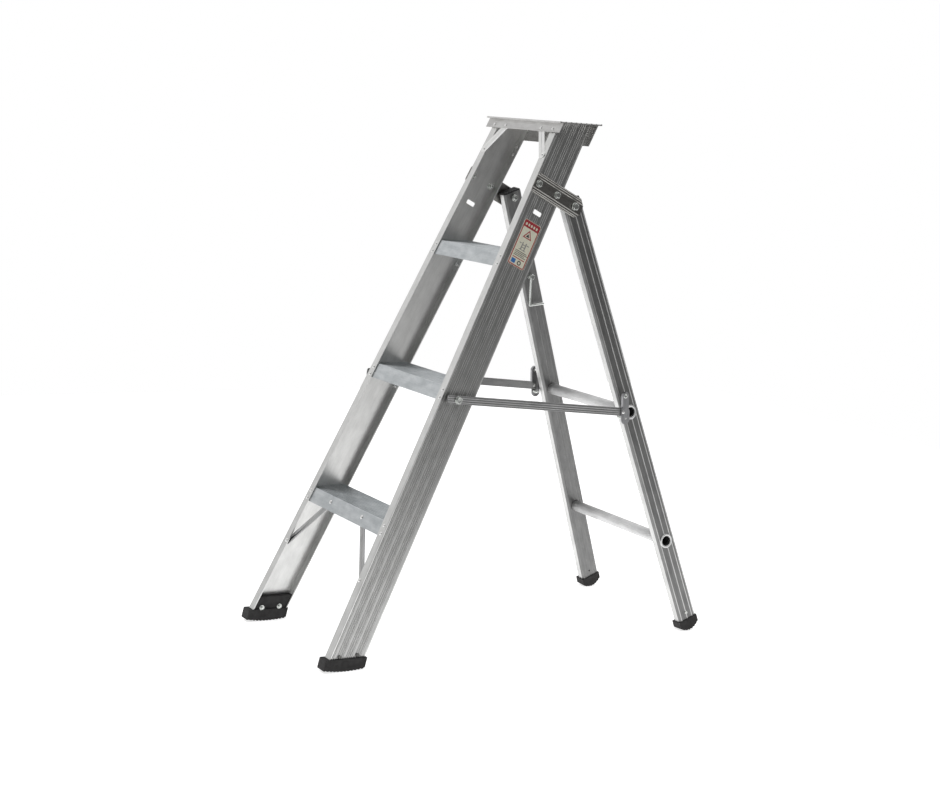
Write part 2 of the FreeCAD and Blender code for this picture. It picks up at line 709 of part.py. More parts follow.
# ---- rear legs ---------------------------------------------------------------------------
def leg_face(x, outward):
    """Points up a broad face of the leg: ribs, and a raised band at the rear corner."""
    plain = x - outward * LEG_RIB_H
    start = -LEG_DEPTH / 2 + LEG_NOSE_R
    points = [(x, start), (plain, start + LEG_RIB_H)]
    points += ribbed_face(x, plain, LEG_RIBS, LEG_RIB_CREST, LEG_RIB_FOOT)
    points += [(plain, LEG_BAND), (x, LEG_BAND + LEG_RIB_H)]
    return points


def leg_outline(inset):
    """The tube's section as a face, inset all round. At no inset, its broad faces are ribbed."""
    x_out = -inset
    x_in = -LEG_W + inset
    front = -LEG_DEPTH / 2 + inset
    rear = LEG_DEPTH / 2 - inset
    nose = LEG_NOSE_R - inset
    corner = LEG_CORNER
    outer = [] if inset else [V(x, y, 0) for x, y in leg_face(x_out, 1)][1:]
    inner = [] if inset else [V(x, y, 0) for x, y in leg_face(x_in, -1)][:0:-1]
    points = [V(x_out, front + nose, 0)] + outer
    points += [V(x_out, rear - corner, 0), V(x_out - corner, rear, 0)]
    points += [V(x_in + corner, rear, 0), V(x_in, rear - corner, 0)]
    points += inner + [V(x_in, front + nose, 0)]
    mid = nose * (1 - math.sqrt(0.5))
    edges = [Part.LineSegment(p, q).toShape() for p, q in zip(points, points[1:])]
    a = V(x_in + nose, front, 0)
    b = V(x_out - nose, front, 0)
    edges.append(Part.Arc(points[-1], V(x_in + mid, front + mid, 0), a).toShape())
    edges.append(Part.LineSegment(a, b).toShape())
    edges.append(Part.Arc(b, V(x_out - mid, front + mid, 0), points[0]).toShape())
    return Part.Face(Part.Wire(edges))


def rung_centre(length):
    """World point where a rung's axis meets the right leg's outer face."""
    return REAR.multVec(V(LEG_OUT + length * math.tan(FLARE_REAR), 0, -length))


def leg():
    length = LEG_LENGTH + LEG_TOP
    scale = 1 / math.cos(FLARE_REAR)
    outer = leg_outline(0).extrude(V(0, 0, length * scale))
    inner = leg_outline(LEG_WALL).extrude(V(0, 0, length * scale + 20))
    inner.translate(V(0, 0, -10))
    tube = outer.cut(inner)
    tube.translate(V(0, 0, -LEG_LENGTH * scale))
    tube = put(tube, LEG)
    for length in (UPPER_RUNG, LOWER_RUNG):
        centre = rung_centre(length)
        tube = tube.cut(cylinder(RUNG_R, centre - V(60, 0, 0), X_AXIS, 90))
    tube = tube.cut(cylinder(BOLT_R, PIVOT + V(LEG_OUT - 60, 0, 0), X_AXIS, 90))
    tube = tube.cut(cylinder(STUD_SHANK_R, STUD - V(60, 0, 0), X_AXIS, 90))
    return tube.cut(put(cylinder(LEG_SCREW_R, V(-60, 0, -LEG_SCREW_S), X_AXIS, 90), LEG))


def leg_cap():
    """A ribbed plastic plug in the top of the tube."""
    top = LEG_TOP / math.cos(FLARE_REAR)
    plug = leg_outline(LEG_WALL).extrude(V(0, 0, LEG_CAP_PLUG))
    plug.translate(V(0, 0, top - LEG_CAP_PLUG))
    lid = leg_outline(0.6).extrude(V(0, 0, LEG_CAP_LID))
    lid.translate(V(0, 0, top))
    shape = plug.fuse(lid)
    for i in range(LEG_CAP_RIBS):
        y = -LEG_DEPTH / 2 + 8 + i * 7.8
        shape = shape.fuse(Part.makeBox(LEG_W - 7, 2.6, 1.6, V(-LEG_W + 3.5, y, top + LEG_CAP_LID - 0.4)))
    return put(shape.removeSplitter(), LEG)


def rear_foot():
    """A rubber boot on the leg's end: a plug up inside the tube and a round toothed sole.

    The lowest teeth are pressed flat on the ground."""
    end = -LEG_LENGTH / math.cos(FLARE_REAR)
    half = LEG_DEPTH / 2 + BOOT_OVER_NARROW
    last = math.asin(half / BOOT_SOLE_R)
    outline = [(-half, BOOT_RIM)]
    for i in range(2 * BOOT_TEETH):
        angle = last * (2 * i / (2 * BOOT_TEETH - 1) - 1)
        radius = BOOT_SOLE_R - (BOOT_TOOTH_H if i % 4 > 1 else 0.0)
        outline.append((radius * math.sin(angle), BOOT_SOLE_UP - radius * math.cos(angle)))
    outline.append((half, BOOT_RIM))
    x0 = -LEG_W - BOOT_OVER
    boot = prism([V(x0, y, end + z) for y, z in outline], V(LEG_W + 2 * BOOT_OVER, 0, 0))
    socket = leg_outline(-0.05).extrude(V(0, 0, 20))
    socket.translate(V(0, 0, end))
    plug = leg_outline(LEG_WALL + 0.1).extrude(V(0, 0, BOOT_PLUG + 2))
    plug.translate(V(0, 0, end - 2))
    shape = boot.cut(socket).fuse(plug).removeSplitter()
    shape = shape.cut(cylinder(LEG_SCREW_R, V(-20, 0, -LEG_SCREW_S), X_AXIS, 30))
    return put(shape, LEG).common(slab(0, PIVOT.z))


def leg_screws():
    start = V(0, 0, -LEG_SCREW_S)
    screw = cylinder(LEG_SCREW_R, start + V(-16, 0, 0), X_AXIS, 16.5)
    screw = screw.fuse(cylinder(LEG_SCREW_HEAD_R, start, X_AXIS, 1.8))
    right = put(screw, LEG)
    return Part.makeCompound([right, mirror(right)])


# ---- rungs -------------------------------------------------------------------------------
def rung(length):
    """A fluted tube through both legs, each end spread into a ring on the outer face."""
    centre = rung_centre(length)
    points = []
    for i in range(RUNG_FLUTES * 2):
        angle = math.pi * i / RUNG_FLUTES
        radius = RUNG_R - (RUNG_FLUTE_H if i % 2 else 0.0)
        y = centre.y + radius * math.cos(angle)
        z = centre.z + radius * math.sin(angle)
        points.append(V(-centre.x, y, z))
    body = prism(points, V(2 * centre.x, 0, 0))
    normal = LEG.Rotation.multVec(X_AXIS)
    ring = cylinder(RUNG_RING_R, centre, normal, RUNG_RING_T)
    ring = ring.fuse(cylinder(RUNG_NECK_R, centre - V(4, 0, 0), X_AXIS, 4.5))
    body = body.common(slab_between_faces())
    shape = body.fuse(ring).fuse(mirror(ring))
    return shape.cut(cylinder(RUNG_BORE, centre - V(2 * centre.x + 20, 0, 0), X_AXIS, 2 * centre.x + 60))


def slab_between_faces():
    """The space between the outer faces of the two legs."""
    low = LEG_OUT + 1200 * math.tan(FLARE_REAR)
    points = [V(-LEG_OUT, -60, 0), V(LEG_OUT, -60, 0), V(low, -60, -1200), V(-low, -60, -1200)]
    return put(prism(points, V(0, 120, 0)), REAR)


# ---- pivots ------------------------------------------------------------------------------
def pivot_bolts():
    """Bolts through bracket and leg. They turn in the brackets, with the legs."""
    bracket_in = STILE_OUT - PIVOT_U * math.tan(FLARE_FRONT)
    head_x = bracket_in + BRACKET_T / math.cos(FLARE_FRONT) + PIVOT_HEAD_GAP
    leg_in = LEG_OUT - LEG_W - 1.2
    end = leg_in - PIVOT_NUT - 3.5
    shape = cylinder(BOLT_R, PIVOT + V(end, 0, 0), X_AXIS, head_x - end)
    shape = shape.fuse(cylinder(BOLT_WASHER_R, PIVOT + V(head_x, 0, 0), X_AXIS, BOLT_WASHER_T))
    shape = shape.fuse(hexagon(BOLT_FLATS, PIVOT + V(head_x + BOLT_WASHER_T, 0, 0), X_AXIS, BOLT_HEAD))
    shape = shape.fuse(hexagon(BOLT_FLATS, PIVOT + V(leg_in - PIVOT_NUT, 0, 0), X_AXIS, PIVOT_NUT))
    shape = shape.removeSplitter()
    return Part.makeCompound([shape, mirror(shape)])


def pivot_washers():
    """Plain washers on the bolts, between leg and bracket."""
    start = LEG_OUT + PIVOT_WASHER_OFF
    washer = cylinder(PIVOT_WASHER_R, PIVOT + V(start, 0, 0), X_AXIS, PIVOT_WASHER_T)
    washer = washer.cut(cylinder(BOLT_R, PIVOT + V(start - 1, 0, 0), X_AXIS, PIVOT_WASHER_T + 2))
    return Part.makeCompound([washer, mirror(washer)])


# ---- spreader arms -----------------------------------------------------------------------
def arm_point(ahead, up, x=0.0):
    """A point on the arm: ahead is measured rearward from the bolt, up square to the arm."""
    c = math.cos(ARM_SLOPE)
    s = math.sin(ARM_SLOPE)
    return V(x, ARM_BOLT.y + ahead * c + up * s, ARM_BOLT.z - ahead * s + up * c)


STUD = arm_point(PLATE_AHEAD - 4.0, -ARM_H / 2 - STUD_R - GAP)
PLATE_X = ARM_IN + ARM_T        # inner face of the catch plate
PLATE = placement(arm_point(PLATE_AHEAD, 0, PLATE_X), X_AXIS, PLATE_TILT)
PLATE_RIVET = arm_point(ARM_LENGTH - 5.0, 0)
EYE_Z = PLATE_UP - PLATE_TOP_W / 2 + 1      # eyelet above the arm's middle
TOP_Y = -(PLATE_W - PLATE_TOP_W) / 2        # the plate's upper part is set forward


def leg_face_x(point):
    """X of the right leg's outer face level with a point."""
    local = REAR.inverse().multVec(point)
    return LEG_OUT - local.z * math.tan(FLARE_REAR)


def arm():
    """A ribbed flat bar with a rounded front end, turning on a bolt in the stile's web."""
    half = ARM_H / 2
    plain = ARM_T - ARM_RIB_H
    ribs = ribbed_face(ARM_T, plain, ARM_RIBS, BAR_RIB_CREST, BAR_RIB_FOOT)
    outline = [(0, -half), (ARM_T - ARM_BEVEL, -half), (ARM_T, -half + ARM_BEVEL)]
    outline += [(plain, -half + ARM_BEVEL + ARM_RIB_H)] + ribs + [(plain, half - ARM_BEVEL - ARM_RIB_H)]
    outline += [(ARM_T, half - ARM_BEVEL), (ARM_T - ARM_BEVEL, half), (0, half)]
    points = [arm_point(-ARM_NOSE, z, ARM_IN + x) for x, z in outline]
    way = arm_point(1, 0) - arm_point(0, 0)
    shape = prism(points, way * (ARM_LENGTH + ARM_NOSE))
    ends = [arm_point(-ARM_NOSE, z).z for z in (-half, half)]
    corners = [e for e in shape.Edges if e.BoundBox.XLength > 1 and e.BoundBox.YLength < 0.01
               and min(abs(e.BoundBox.ZMin - z) for z in ends) < 0.01]
    shape = shape.makeFillet(ARM_CORNER, corners)
    shape = shape.cut(cylinder(BOLT_R + FIT, ARM_BOLT + V(150, 0, 0), X_AXIS, 60))
    return shape.cut(cylinder(RIVET_R, PLATE_RIVET + V(ARM_IN - 1, 0, 0), X_AXIS, ARM_T + 2))


def finger_tab():
    """A strip folded out along the front of the catch plate's upper part and over its top."""
    radius = PLATE_TOP_W / 2
    height = PLATE_T + TAB_H
    z = PLATE_UP - radius
    ring = cylinder(radius, V(0, TOP_Y, z), X_AXIS, height)
    ring = ring.cut(cylinder(radius - TAB_T, V(-1, TOP_Y, z), X_AXIS, height + 2))
    quadrant = Part.makeBox(height, radius, radius, V(0, TOP_Y - radius, z))
    foot = ARM_H / 2 + 2
    return ring.common(quadrant).fuse(Part.makeBox(height, TAB_T, z - foot, V(0, TOP_Y - radius, foot)))


def catch_plate():
    """An upright plate on the arm's rear end, with a finger tab above the arm."""
    low = V(0, 0, -PLATE_DOWN + PLATE_W / 2)
    shape = flat_bar(V(0, 0, 0), low, PLATE_W, PLATE_T, X_AXIS)
    top = V(0, TOP_Y, PLATE_UP - PLATE_TOP_W / 2)
    shape = shape.fuse(flat_bar(V(0, TOP_Y, 0), top, PLATE_TOP_W, PLATE_T, X_AXIS))
    for y in PLATE_RIBS:
        shape = shape.fuse(Part.makeBox(0.5, 1.2, 34, V(PLATE_T, y - 0.6, low.z - 5)))
    shape = shape.fuse(finger_tab()).removeSplitter()
    shape = put(shape.cut(cylinder(EYELET_R, V(-1, TOP_Y, EYE_Z), X_AXIS, PLATE_T + 2)), PLATE)
    rivet_face = PLATE_RIVET + V(PLATE_X + PLATE_T, 0, 0)
    shape = shape.cut(cylinder(RIVET_R, rivet_face - V(PLATE_T + 1, 0, 0), X_AXIS, PLATE_T + 3))
    shape = shape.cut(cylinder(RIVET_PACKING_R, rivet_face, X_AXIS, 2))
    return shape.cut(cylinder(CATCH_PIN_R, catch_pin_start(), X_AXIS, 30))


def catch_pin_start():
    """The inner end of the pin that stands behind the leg's stud."""
    y = STUD.y + STUD_R + CATCH_PIN_R + GAP
    return V(leg_face_x(STUD) + 2, y, STUD.z - 1)


def catch_pin():
    start = catch_pin_start()
    return cylinder(CATCH_PIN_R, start, X_AXIS, PLATE_X + PLATE_T - start.x)


def eyelet():
    """A rolled eyelet near the top of the catch plate."""
    centre = V(-1.0, TOP_Y, EYE_Z)
    shape = cylinder(EYELET_R, centre, X_AXIS, PLATE_T + 2.0)
    shape = shape.fuse(cylinder(EYELET_FLANGE_R, centre, X_AXIS, 1.0))
    shape = shape.fuse(cylinder(EYELET_FLANGE_R, centre + V(PLATE_T + 1.0, 0, 0), X_AXIS, 1.2))
    return put(shape.cut(cylinder(EYELET_BORE, centre - V(1, 0, 0), X_AXIS, PLATE_T + 5)), PLATE)


def plate_rivet():
    start = PLATE_RIVET + V(PLATE_X + PLATE_T, 0, 0)
    return rivet(start, V(-1, 0, 0), PLATE_T + ARM_T)


def web_at_arm():
    """X of the web's outer face level with the arm's bolt."""
    return STILE_OUT - ARM_BOLT_U * math.tan(FLARE_FRONT)


def arm_bolts():
    """Bolts through the webs, each with a head outside its arm and a nut inside the web."""
    inner = web_at_arm() - WEB_T - 1.2
    head_x = ARM_IN + ARM_T + GAP
    shape = cylinder(BOLT_R, ARM_BOLT + V(inner - 9.0, 0, 0), X_AXIS, head_x - inner + 9.0)
    shape = shape.fuse(cylinder(BOLT_WASHER_R, ARM_BOLT + V(head_x, 0, 0), X_AXIS, BOLT_WASHER_T))
    shape = shape.fuse(hexagon(14.0, ARM_BOLT + V(head_x + BOLT_WASHER_T, 0, 0), X_AXIS, BOLT_HEAD))
    shape = shape.fuse(hexagon(14.0, ARM_BOLT + V(inner - BOLT_HEAD, 0, 0), X_AXIS, BOLT_HEAD))
    shape = shape.removeSplitter()
    return Part.makeCompound([shape, mirror(shape)])


def arm_spacers():
    """Sleeves on the arms' bolts, which hold the arms clear of the webs and legs."""
    start = web_at_arm() + 0.6
    sleeve = cylinder(SPACER_R, ARM_BOLT + V(start, 0, 0), X_AXIS, ARM_IN - GAP - start)
    sleeve = sleeve.cut(cylinder(BOLT_R, ARM_BOLT + V(start - 1, 0, 0), X_AXIS, 30))
    return Part.makeCompound([sleeve, mirror(sleeve)])


def catch_stud():
    """A stud on the leg's outer face, just below the arm."""
    face = leg_face_x(STUD)
    tip = ARM_IN + ARM_T - 0.6
    shape = cylinder(STUD_SHANK_R, STUD + V(face - 8, 0, 0), X_AXIS, 9)
    shape = shape.fuse(cylinder(STUD_R, STUD + V(face + 0.5, 0, 0), X_AXIS, tip - face - 0.5))
    return shape.removeSplitter()


# ---- hook --------------------------------------------------------------------------------
def hook_centre():
    """World point of the hook's pivot on the left leg's inner face."""
    x = -(LEG_OUT + HOOK_L * math.tan(FLARE_REAR) - LEG_W / math.cos(FLARE_REAR))
    return REAR.multVec(V(x, 0, -HOOK_L))


def hook():
    """A bent rod hanging from its bolt by a closed eye."""
    centre = hook_centre() + V(HOOK_OFF, 0, 0)
    eye = cylinder(HOOK_EYE_R, centre - V(HOOK_ROD_R, 0, 0), X_AXIS, 2 * HOOK_ROD_R)
    top = centre + V(0, 0, -5)
    low = centre + V(0, HOOK_SET, -HOOK_DROP)
    tip = low + V(0, HOOK_FOOT, HOOK_RISE)
    rod = cylinder(HOOK_ROD_R, top, low - top, (low - top).Length)
    rod = rod.fuse(Part.makeSphere(HOOK_ROD_R, low))
    rod = rod.fuse(cylinder(HOOK_ROD_R, low, tip - low, (tip - low).Length))
    rod = rod.fuse(Part.makeSphere(HOOK_ROD_R, tip))
    shape = eye.fuse(rod)
    return shape.cut(cylinder(HOOK_BOLT_R + FIT, centre - V(20, 0, 0), X_AXIS, 40))


def hook_bolt():
    """A bolt with a collar against the leg and a nut outside the hook's eye."""
    centre = hook_centre()
    nut_x = HOOK_OFF + HOOK_ROD_R + GAP
    collar = HOOK_OFF - HOOK_ROD_R - GAP - 0.6
    shape = cylinder(HOOK_BOLT_R, centre - V(8, 0, 0), X_AXIS, 8 + nut_x)
    shape = shape.fuse(cylinder(HOOK_EYE_R, centre + V(0.6, 0, 0), X_AXIS, collar))
    shape = shape.fuse(hexagon(12.0, centre + V(nut_x, 0, 0), X_AXIS, 4.5))
    return shape.removeSplitter()


# ---- build -------------------------------------------------------------------------------
def main():
    save_pair("stile", stile())
    for i, z in enumerate(tread_heights()):
        save("tread_%d" % (i + 1), tread(z))
    save("tread_rivets", tread_rivets())
    save("platform", cap())
    save("platform_rivets", cap_rivets())
    save_pair("platform_strap", cap_strap())
    save_pair("tread_brace", brace())
    save("brace_rivets", brace_rivets())
    save_pair("hinge_bracket", bracket())
    save("bracket_bolts", bracket_bolts())
    save_pair("front_foot", front_foot())
    save("front_foot_bolts", foot_bolts())
    save("label", label())
    right_leg = leg()
    left_leg = mirror(right_leg).cut(cylinder(HOOK_BOLT_R, hook_centre() - V(10, 0, 0), X_AXIS, 20))
    save("rear_leg_right", right_leg)
    save("rear_leg_left", left_leg)
    save_pair("leg_cap", leg_cap())
    save_pair("rear_foot", rear_foot())
    save("rear_foot_screws", leg_screws())
    save("upper_rung", rung(UPPER_RUNG))
    save("lower_rung", rung(LOWER_RUNG))
    save("pivot_bolts", pivot_bolts())
    save("pivot_washers", pivot_washers())
    save_pair("catch_stud", catch_stud())
    save("hook_bolt", hook_bolt())
    save("hook", hook())
    save("arm_bolts", arm_bolts())
    save("arm_spacers", arm_spacers())
    save_pair("spreader_arm", arm())
    save_pair("catch_plate", catch_plate())
    save_pair("eyelet", eyelet())
    save_pair("plate_rivet", plate_rivet())
    save_pair("catch_pin", catch_pin())
    print("deck middle", deck_middle())
    print("pivot", PIVOT, "arm bolt", ARM_BOLT, "hook", hook_centre(), "stud", STUD)


main()
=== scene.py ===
import json
import math

import bmesh
import bpy
from mathutils import Matrix, Vector


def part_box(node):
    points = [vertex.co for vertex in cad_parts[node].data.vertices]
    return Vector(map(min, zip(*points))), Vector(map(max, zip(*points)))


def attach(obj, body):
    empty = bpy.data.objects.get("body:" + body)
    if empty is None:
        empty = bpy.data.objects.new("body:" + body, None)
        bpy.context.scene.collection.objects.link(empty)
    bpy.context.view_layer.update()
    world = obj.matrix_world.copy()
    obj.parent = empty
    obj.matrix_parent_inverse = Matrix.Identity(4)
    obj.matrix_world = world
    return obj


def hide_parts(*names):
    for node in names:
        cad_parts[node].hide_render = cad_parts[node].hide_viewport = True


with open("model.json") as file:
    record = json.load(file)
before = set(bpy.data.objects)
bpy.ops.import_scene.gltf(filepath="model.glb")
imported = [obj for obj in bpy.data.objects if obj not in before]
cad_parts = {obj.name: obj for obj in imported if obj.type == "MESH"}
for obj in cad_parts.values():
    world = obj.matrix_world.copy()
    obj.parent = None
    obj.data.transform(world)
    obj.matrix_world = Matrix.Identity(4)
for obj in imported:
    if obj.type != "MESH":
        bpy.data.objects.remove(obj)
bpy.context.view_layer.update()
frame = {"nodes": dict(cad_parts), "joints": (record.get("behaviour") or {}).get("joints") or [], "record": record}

X = Vector((1, 0, 0))
Y = Vector((0, 1, 0))
Z = Vector((0, 0, 1))
MM = 0.001

# ---- directions of the extrusions ------------------------------------------------------
LEAN_FRONT = math.radians(24.75)
LEAN_REAR = math.radians(21.46)
FLARE_FRONT = math.radians(3.33)
FLARE_REAR = math.radians(4.28)
ARM_SLOPE = math.radians(5.0)

# ---- depth of the lengthwise ribs, in metres; over it the painted groove shade turns into the painted crest highlight ---
STILE_RIB = 0.0009
LEG_RIB = 0.0005
BRACKET_RIB = 0.0007
ARM_RIB = 0.0005
TREAD_RIB = 0.0012
DECK_RIB = 0.0016
# how squarely a face must meet the axis to take the painted rib shade and highlight: all of it, and none
FACING = (0.35, 0.2)            # how squarely a face meets the axis: all relief, and none

# ---- edge rounding, in metres ------------------------------------------------------------
FINE_EDGE = 0.0003
ZINC_EDGE = 0.0004
CAP_EDGE = 0.0005

# ---- hardware ----------------------------------------------------------------------------
RUNG_FLUTES = 24
RUNG_RADIUS = 13.8 * MM
RUNG_BORE = 11.4 * MM
FLUTE_DEEP = 0.75 * MM
MOUTH_TEETH = 36
TOOTH_HIGH = 0.9 * MM
HEX_CHAMFER = math.radians(32)

# ---- studio ------------------------------------------------------------------------------
FLOOR_HALF = 3.2
FLOOR_GLOW = (0.8, 2.0, 0.7, 0.1)       # from x, to x, glow at the first and at the second
ROOM_LEVEL = 0.37
ROOM_FALL = -1.0                        # how fast the room darkens towards +X
OVERHEAD = (0.25, 0.95)                 # rise of the direction where the bright ceiling begins and is full
OVERHEAD_LEVEL = 1.1
CAMERA_FROM_HINGE = (3.3824, -2.32396, 0.18636)
CAMERA_FORWARD = (-0.8305, 0.5328, -0.1626)
CAMERA_ROLL = math.radians(4.25)
CAMERA_SENSOR = 36.0
CAMERA_LENS = 65.70
CAMERA_SHIFT = 0.0064


def axes(lean, flare, side):
    """Outward, rearward and upward directions of a leaning, flared post."""
    tilt = Matrix.Rotation(-lean, 3, "X")
    turn = Matrix.Rotation(-flare * side, 3, "Y")
    m = tilt @ turn
    return m @ (X * side), m @ Y, m @ Z


FRONT = axes(LEAN_FRONT, 0.0, 1)
STILE = {"right": axes(LEAN_FRONT, FLARE_FRONT, 1), "left": axes(LEAN_FRONT, FLARE_FRONT, -1)}
LEG = {"right": axes(-LEAN_REAR, FLARE_REAR, 1), "left": axes(-LEAN_REAR, FLARE_REAR, -1)}
ARM = (X, Matrix.Rotation(-ARM_SLOPE, 3, "X") @ Y, Matrix.Rotation(-ARM_SLOPE, 3, "X") @ Z)
WORLD = (X, Y, Z)


# ---- materials -------------------------------------------------------------------------
class Nodes:
    """A short way to wire a material."""

    def __init__(self, name):
        self.material = bpy.data.materials.new(name)
        self.material.use_nodes = True
        self.tree = self.material.node_tree
        self.shader = self.tree.nodes["Principled BSDF"]
        self.coord = self.tree.nodes.new("ShaderNodeTexCoord").outputs["Object"]

    def node(self, kind, **values):
        n = self.tree.nodes.new(kind)
        for key, value in values.items():
            setattr(n, key, value)
        return n

    def plug(self, value, socket):
        if isinstance(value, bpy.types.NodeSocket):
            self.tree.links.new(value, socket)
        else:
            socket.default_value = value

    def math(self, operation, a, b=0.0, clamp=False):
        n = self.node("ShaderNodeMath", operation=operation, use_clamp=clamp)
        self.plug(a, n.inputs[0])
        self.plug(b, n.inputs[1])
        return n.outputs[0]

    def along(self, axis):
        n = self.node("ShaderNodeVectorMath", operation="DOT_PRODUCT")
        self.plug(self.coord, n.inputs[0])
        n.inputs[1].default_value = axis
        return n.outputs["Value"]

    def vector(self, x, y, z):
        n = self.node("ShaderNodeCombineXYZ")
        for value, socket in zip((x, y, z), n.inputs):
            self.plug(value, socket)
        return n.outputs[0]

    def local(self, frame_axes, stretch=(1, 1, 1)):
        """Coordinates along three directions, each scaled."""
        parts = [self.math("MULTIPLY", self.along(a), k) for a, k in zip(frame_axes, stretch)]
        return self.vector(*parts)

    def noise(self, vector, scale, detail=3.0, rough=0.55):
        n = self.node("ShaderNodeTexNoise")
        self.plug(vector, n.inputs["Vector"])
        n.inputs["Scale"].default_value = scale
        n.inputs["Detail"].default_value = detail
        n.inputs["Roughness"].default_value = rough
        return n.outputs["Fac"]

    def remap(self, value, low, high, to_low=0.0, to_high=1.0):
        n = self.node("ShaderNodeMapRange")
        self.plug(value, n.inputs["Value"])
        for key, v in (("From Min", low), ("From Max", high), ("To Min", to_low), ("To Max", to_high)):
            n.inputs[key].default_value = v
        return n.outputs["Result"]

    def mix(self, factor, a, b):
        n = self.node("ShaderNodeMix", data_type="RGBA")
        self.plug(factor, n.inputs[0])
        for value, socket in ((a, n.inputs[6]), (b, n.inputs[7])):
            self.plug(value if isinstance(value, bpy.types.NodeSocket) else (*value, 1.0), socket)
        return n.outputs[2]

    def bump(self, height, distance, strength=1.0):
        n = self.node("ShaderNodeBump")
        self.plug(height, n.inputs["Height"])
        n.inputs["Distance"].default_value = distance
        n.inputs["Strength"].default_value = strength
        self.plug(n.outputs[0], self.shader.inputs["Normal"])

    def base(self, color):
        self.plug(color, self.shader.inputs["Base Color"])

    def rough(self, value):
        self.plug(value, self.shader.inputs["Roughness"])


def reach(node, axis):
    """How far a CAD node goes along a direction, in metres."""
    return max(v.co.dot(axis) for v in frame["nodes"][node].data.vertices)


def metal(name, frame_axes, dark, light, rough=(0.3, 0.5), streak=1.0, mottle=1.0, rib_shade_and_highlight=None, both=False):
    """Bare metal drawn along the third of its axes: fine streaks, blotches and stains.

    The ribs tuple (axis, level, depth, low, high) paints light and shade: the colour is scaled from low, a painted
    shade in the grooves at depth under the level, to high, a painted highlight on the crests at the level.
    It acts on faces along the axis, and with both set on those against it too, which then take the painted groove
    shade all over."""
    m = Nodes(name)
    m.shader.inputs["Metallic"].default_value = 1.0
    fine = m.noise(m.local(frame_axes, (1, 1, 0.02)), 1400, 2.0, 0.6)
    lines = m.noise(m.local(frame_axes, (1, 1, 0.006)), 380, 3.0, 0.6)
    blotch = m.noise(m.local(frame_axes, (1, 1, 0.45)), 55, 4.0, 0.6)
    grain = m.noise(m.coord, 1100, 2.0, 0.5)
    streaks = m.math("ADD", m.math("MULTIPLY", fine, 0.45), m.math("MULTIPLY", lines, 0.55))
    tone = m.math("ADD", m.math("MULTIPLY", m.remap(streaks, 0.36, 0.64), 0.55 * streak),
                  m.math("MULTIPLY", m.remap(blotch, 0.34, 0.68), 0.45 * mottle), clamp=True)
    color = m.mix(tone, dark, light)
    # painted shade in the rib grooves and painted highlight on the crests: the colour is scaled by shade, from low
    # to high
    if rib_shade_and_highlight:
        axis, level, depth, low, high = rib_shade_and_highlight
        height = m.remap(m.along(axis), level - depth, level - 0.05 * depth)
        # how lit each rib is: 0 in the grooves, near 1 on the crests, broken by the fine streaks; it places the
        # painted shade and highlight
        crest_light = m.math("MULTIPLY", height, m.remap(fine, 0.2, 0.6, 0.75, 1.0), clamp=True)
        normal = m.node("ShaderNodeTexCoord").outputs["Normal"]
        facing = m.node("ShaderNodeVectorMath", operation="DOT_PRODUCT")
        m.plug(normal, facing.inputs[0])
        facing.inputs[1].default_value = axis
        turned = m.math("ABSOLUTE", facing.outputs["Value"]) if both else facing.outputs["Value"]
        away = m.remap(turned, *FACING)
        shade = m.math("MAXIMUM", m.remap(crest_light, 0.0, 1.0, low, high), away)
        n = m.node("ShaderNodeVectorMath", operation="SCALE")
        m.plug(color, n.inputs[0])
        m.plug(shade, n.inputs["Scale"])
        color = n.outputs["Vector"]
    m.base(color)
    spots = m.remap(m.noise(m.coord, 240, 3.0, 0.7), 0.45, 0.75)
    shine = m.math("ADD", m.math("MULTIPLY", streaks, 0.6), m.math("MULTIPLY", spots, 0.4))
    m.rough(m.remap(shine, 0.2, 0.8, rough[0], rough[1]))
    m.bump(m.math("ADD", streaks, m.math("MULTIPLY", grain, 0.3)), 0.00006, 0.6)
    return m.material


def rubber(name, dark, light, rough=(0.55, 0.8)):
    """Moulded rubber: fine grain, dusty blotches."""
    m = Nodes(name)
    grain = m.noise(m.coord, 900, 4.0, 0.65)
    dust = m.noise(m.coord, 70, 5.0, 0.62)
    m.base(m.mix(m.remap(dust, 0.4, 0.72), dark, light))
    m.rough(m.remap(grain, 0.3, 0.7, rough[1], rough[0]))
    m.shader.inputs["Specular IOR Level"].default_value = 0.35
    m.bump(m.math("ADD", grain, m.math("MULTIPLY", dust, 0.6)), 0.0002, 0.5)
    return m.material


def ink(name, color, rough=0.35):
    """Printed film: a little uneven, faintly scuffed."""
    m = Nodes(name)
    fade = m.noise(m.coord, 160, 4.0, 0.6)
    pale = tuple(c * 0.82 + 0.06 for c in color)
    m.base(m.mix(m.remap(fade, 0.4, 0.75), color, pale))
    m.rough(m.remap(m.noise(m.coord, 700, 2.0), 0.3, 0.7, rough, rough + 0.15))
    m.bump(m.noise(m.coord, 900, 2.0), 0.00003, 0.4)
    return m.material


def assign(node, material):
    for slot in frame["nodes"][node].material_slots:
        slot.material = material


def soften(node, width, angle=30):
    """Rounds a CAD node's edges a little, so that they catch the light."""
    obj = frame["nodes"][node]
    weld = obj.modifiers.new("weld", "WELD")
    weld.merge_threshold = 0.000002
    bevel = obj.modifiers.new("bevel", "BEVEL")
    bevel.width = width
    bevel.segments = 2
    bevel.limit_method = "ANGLE"
    bevel.angle_limit = math.radians(angle)
    bevel.harden_normals = False


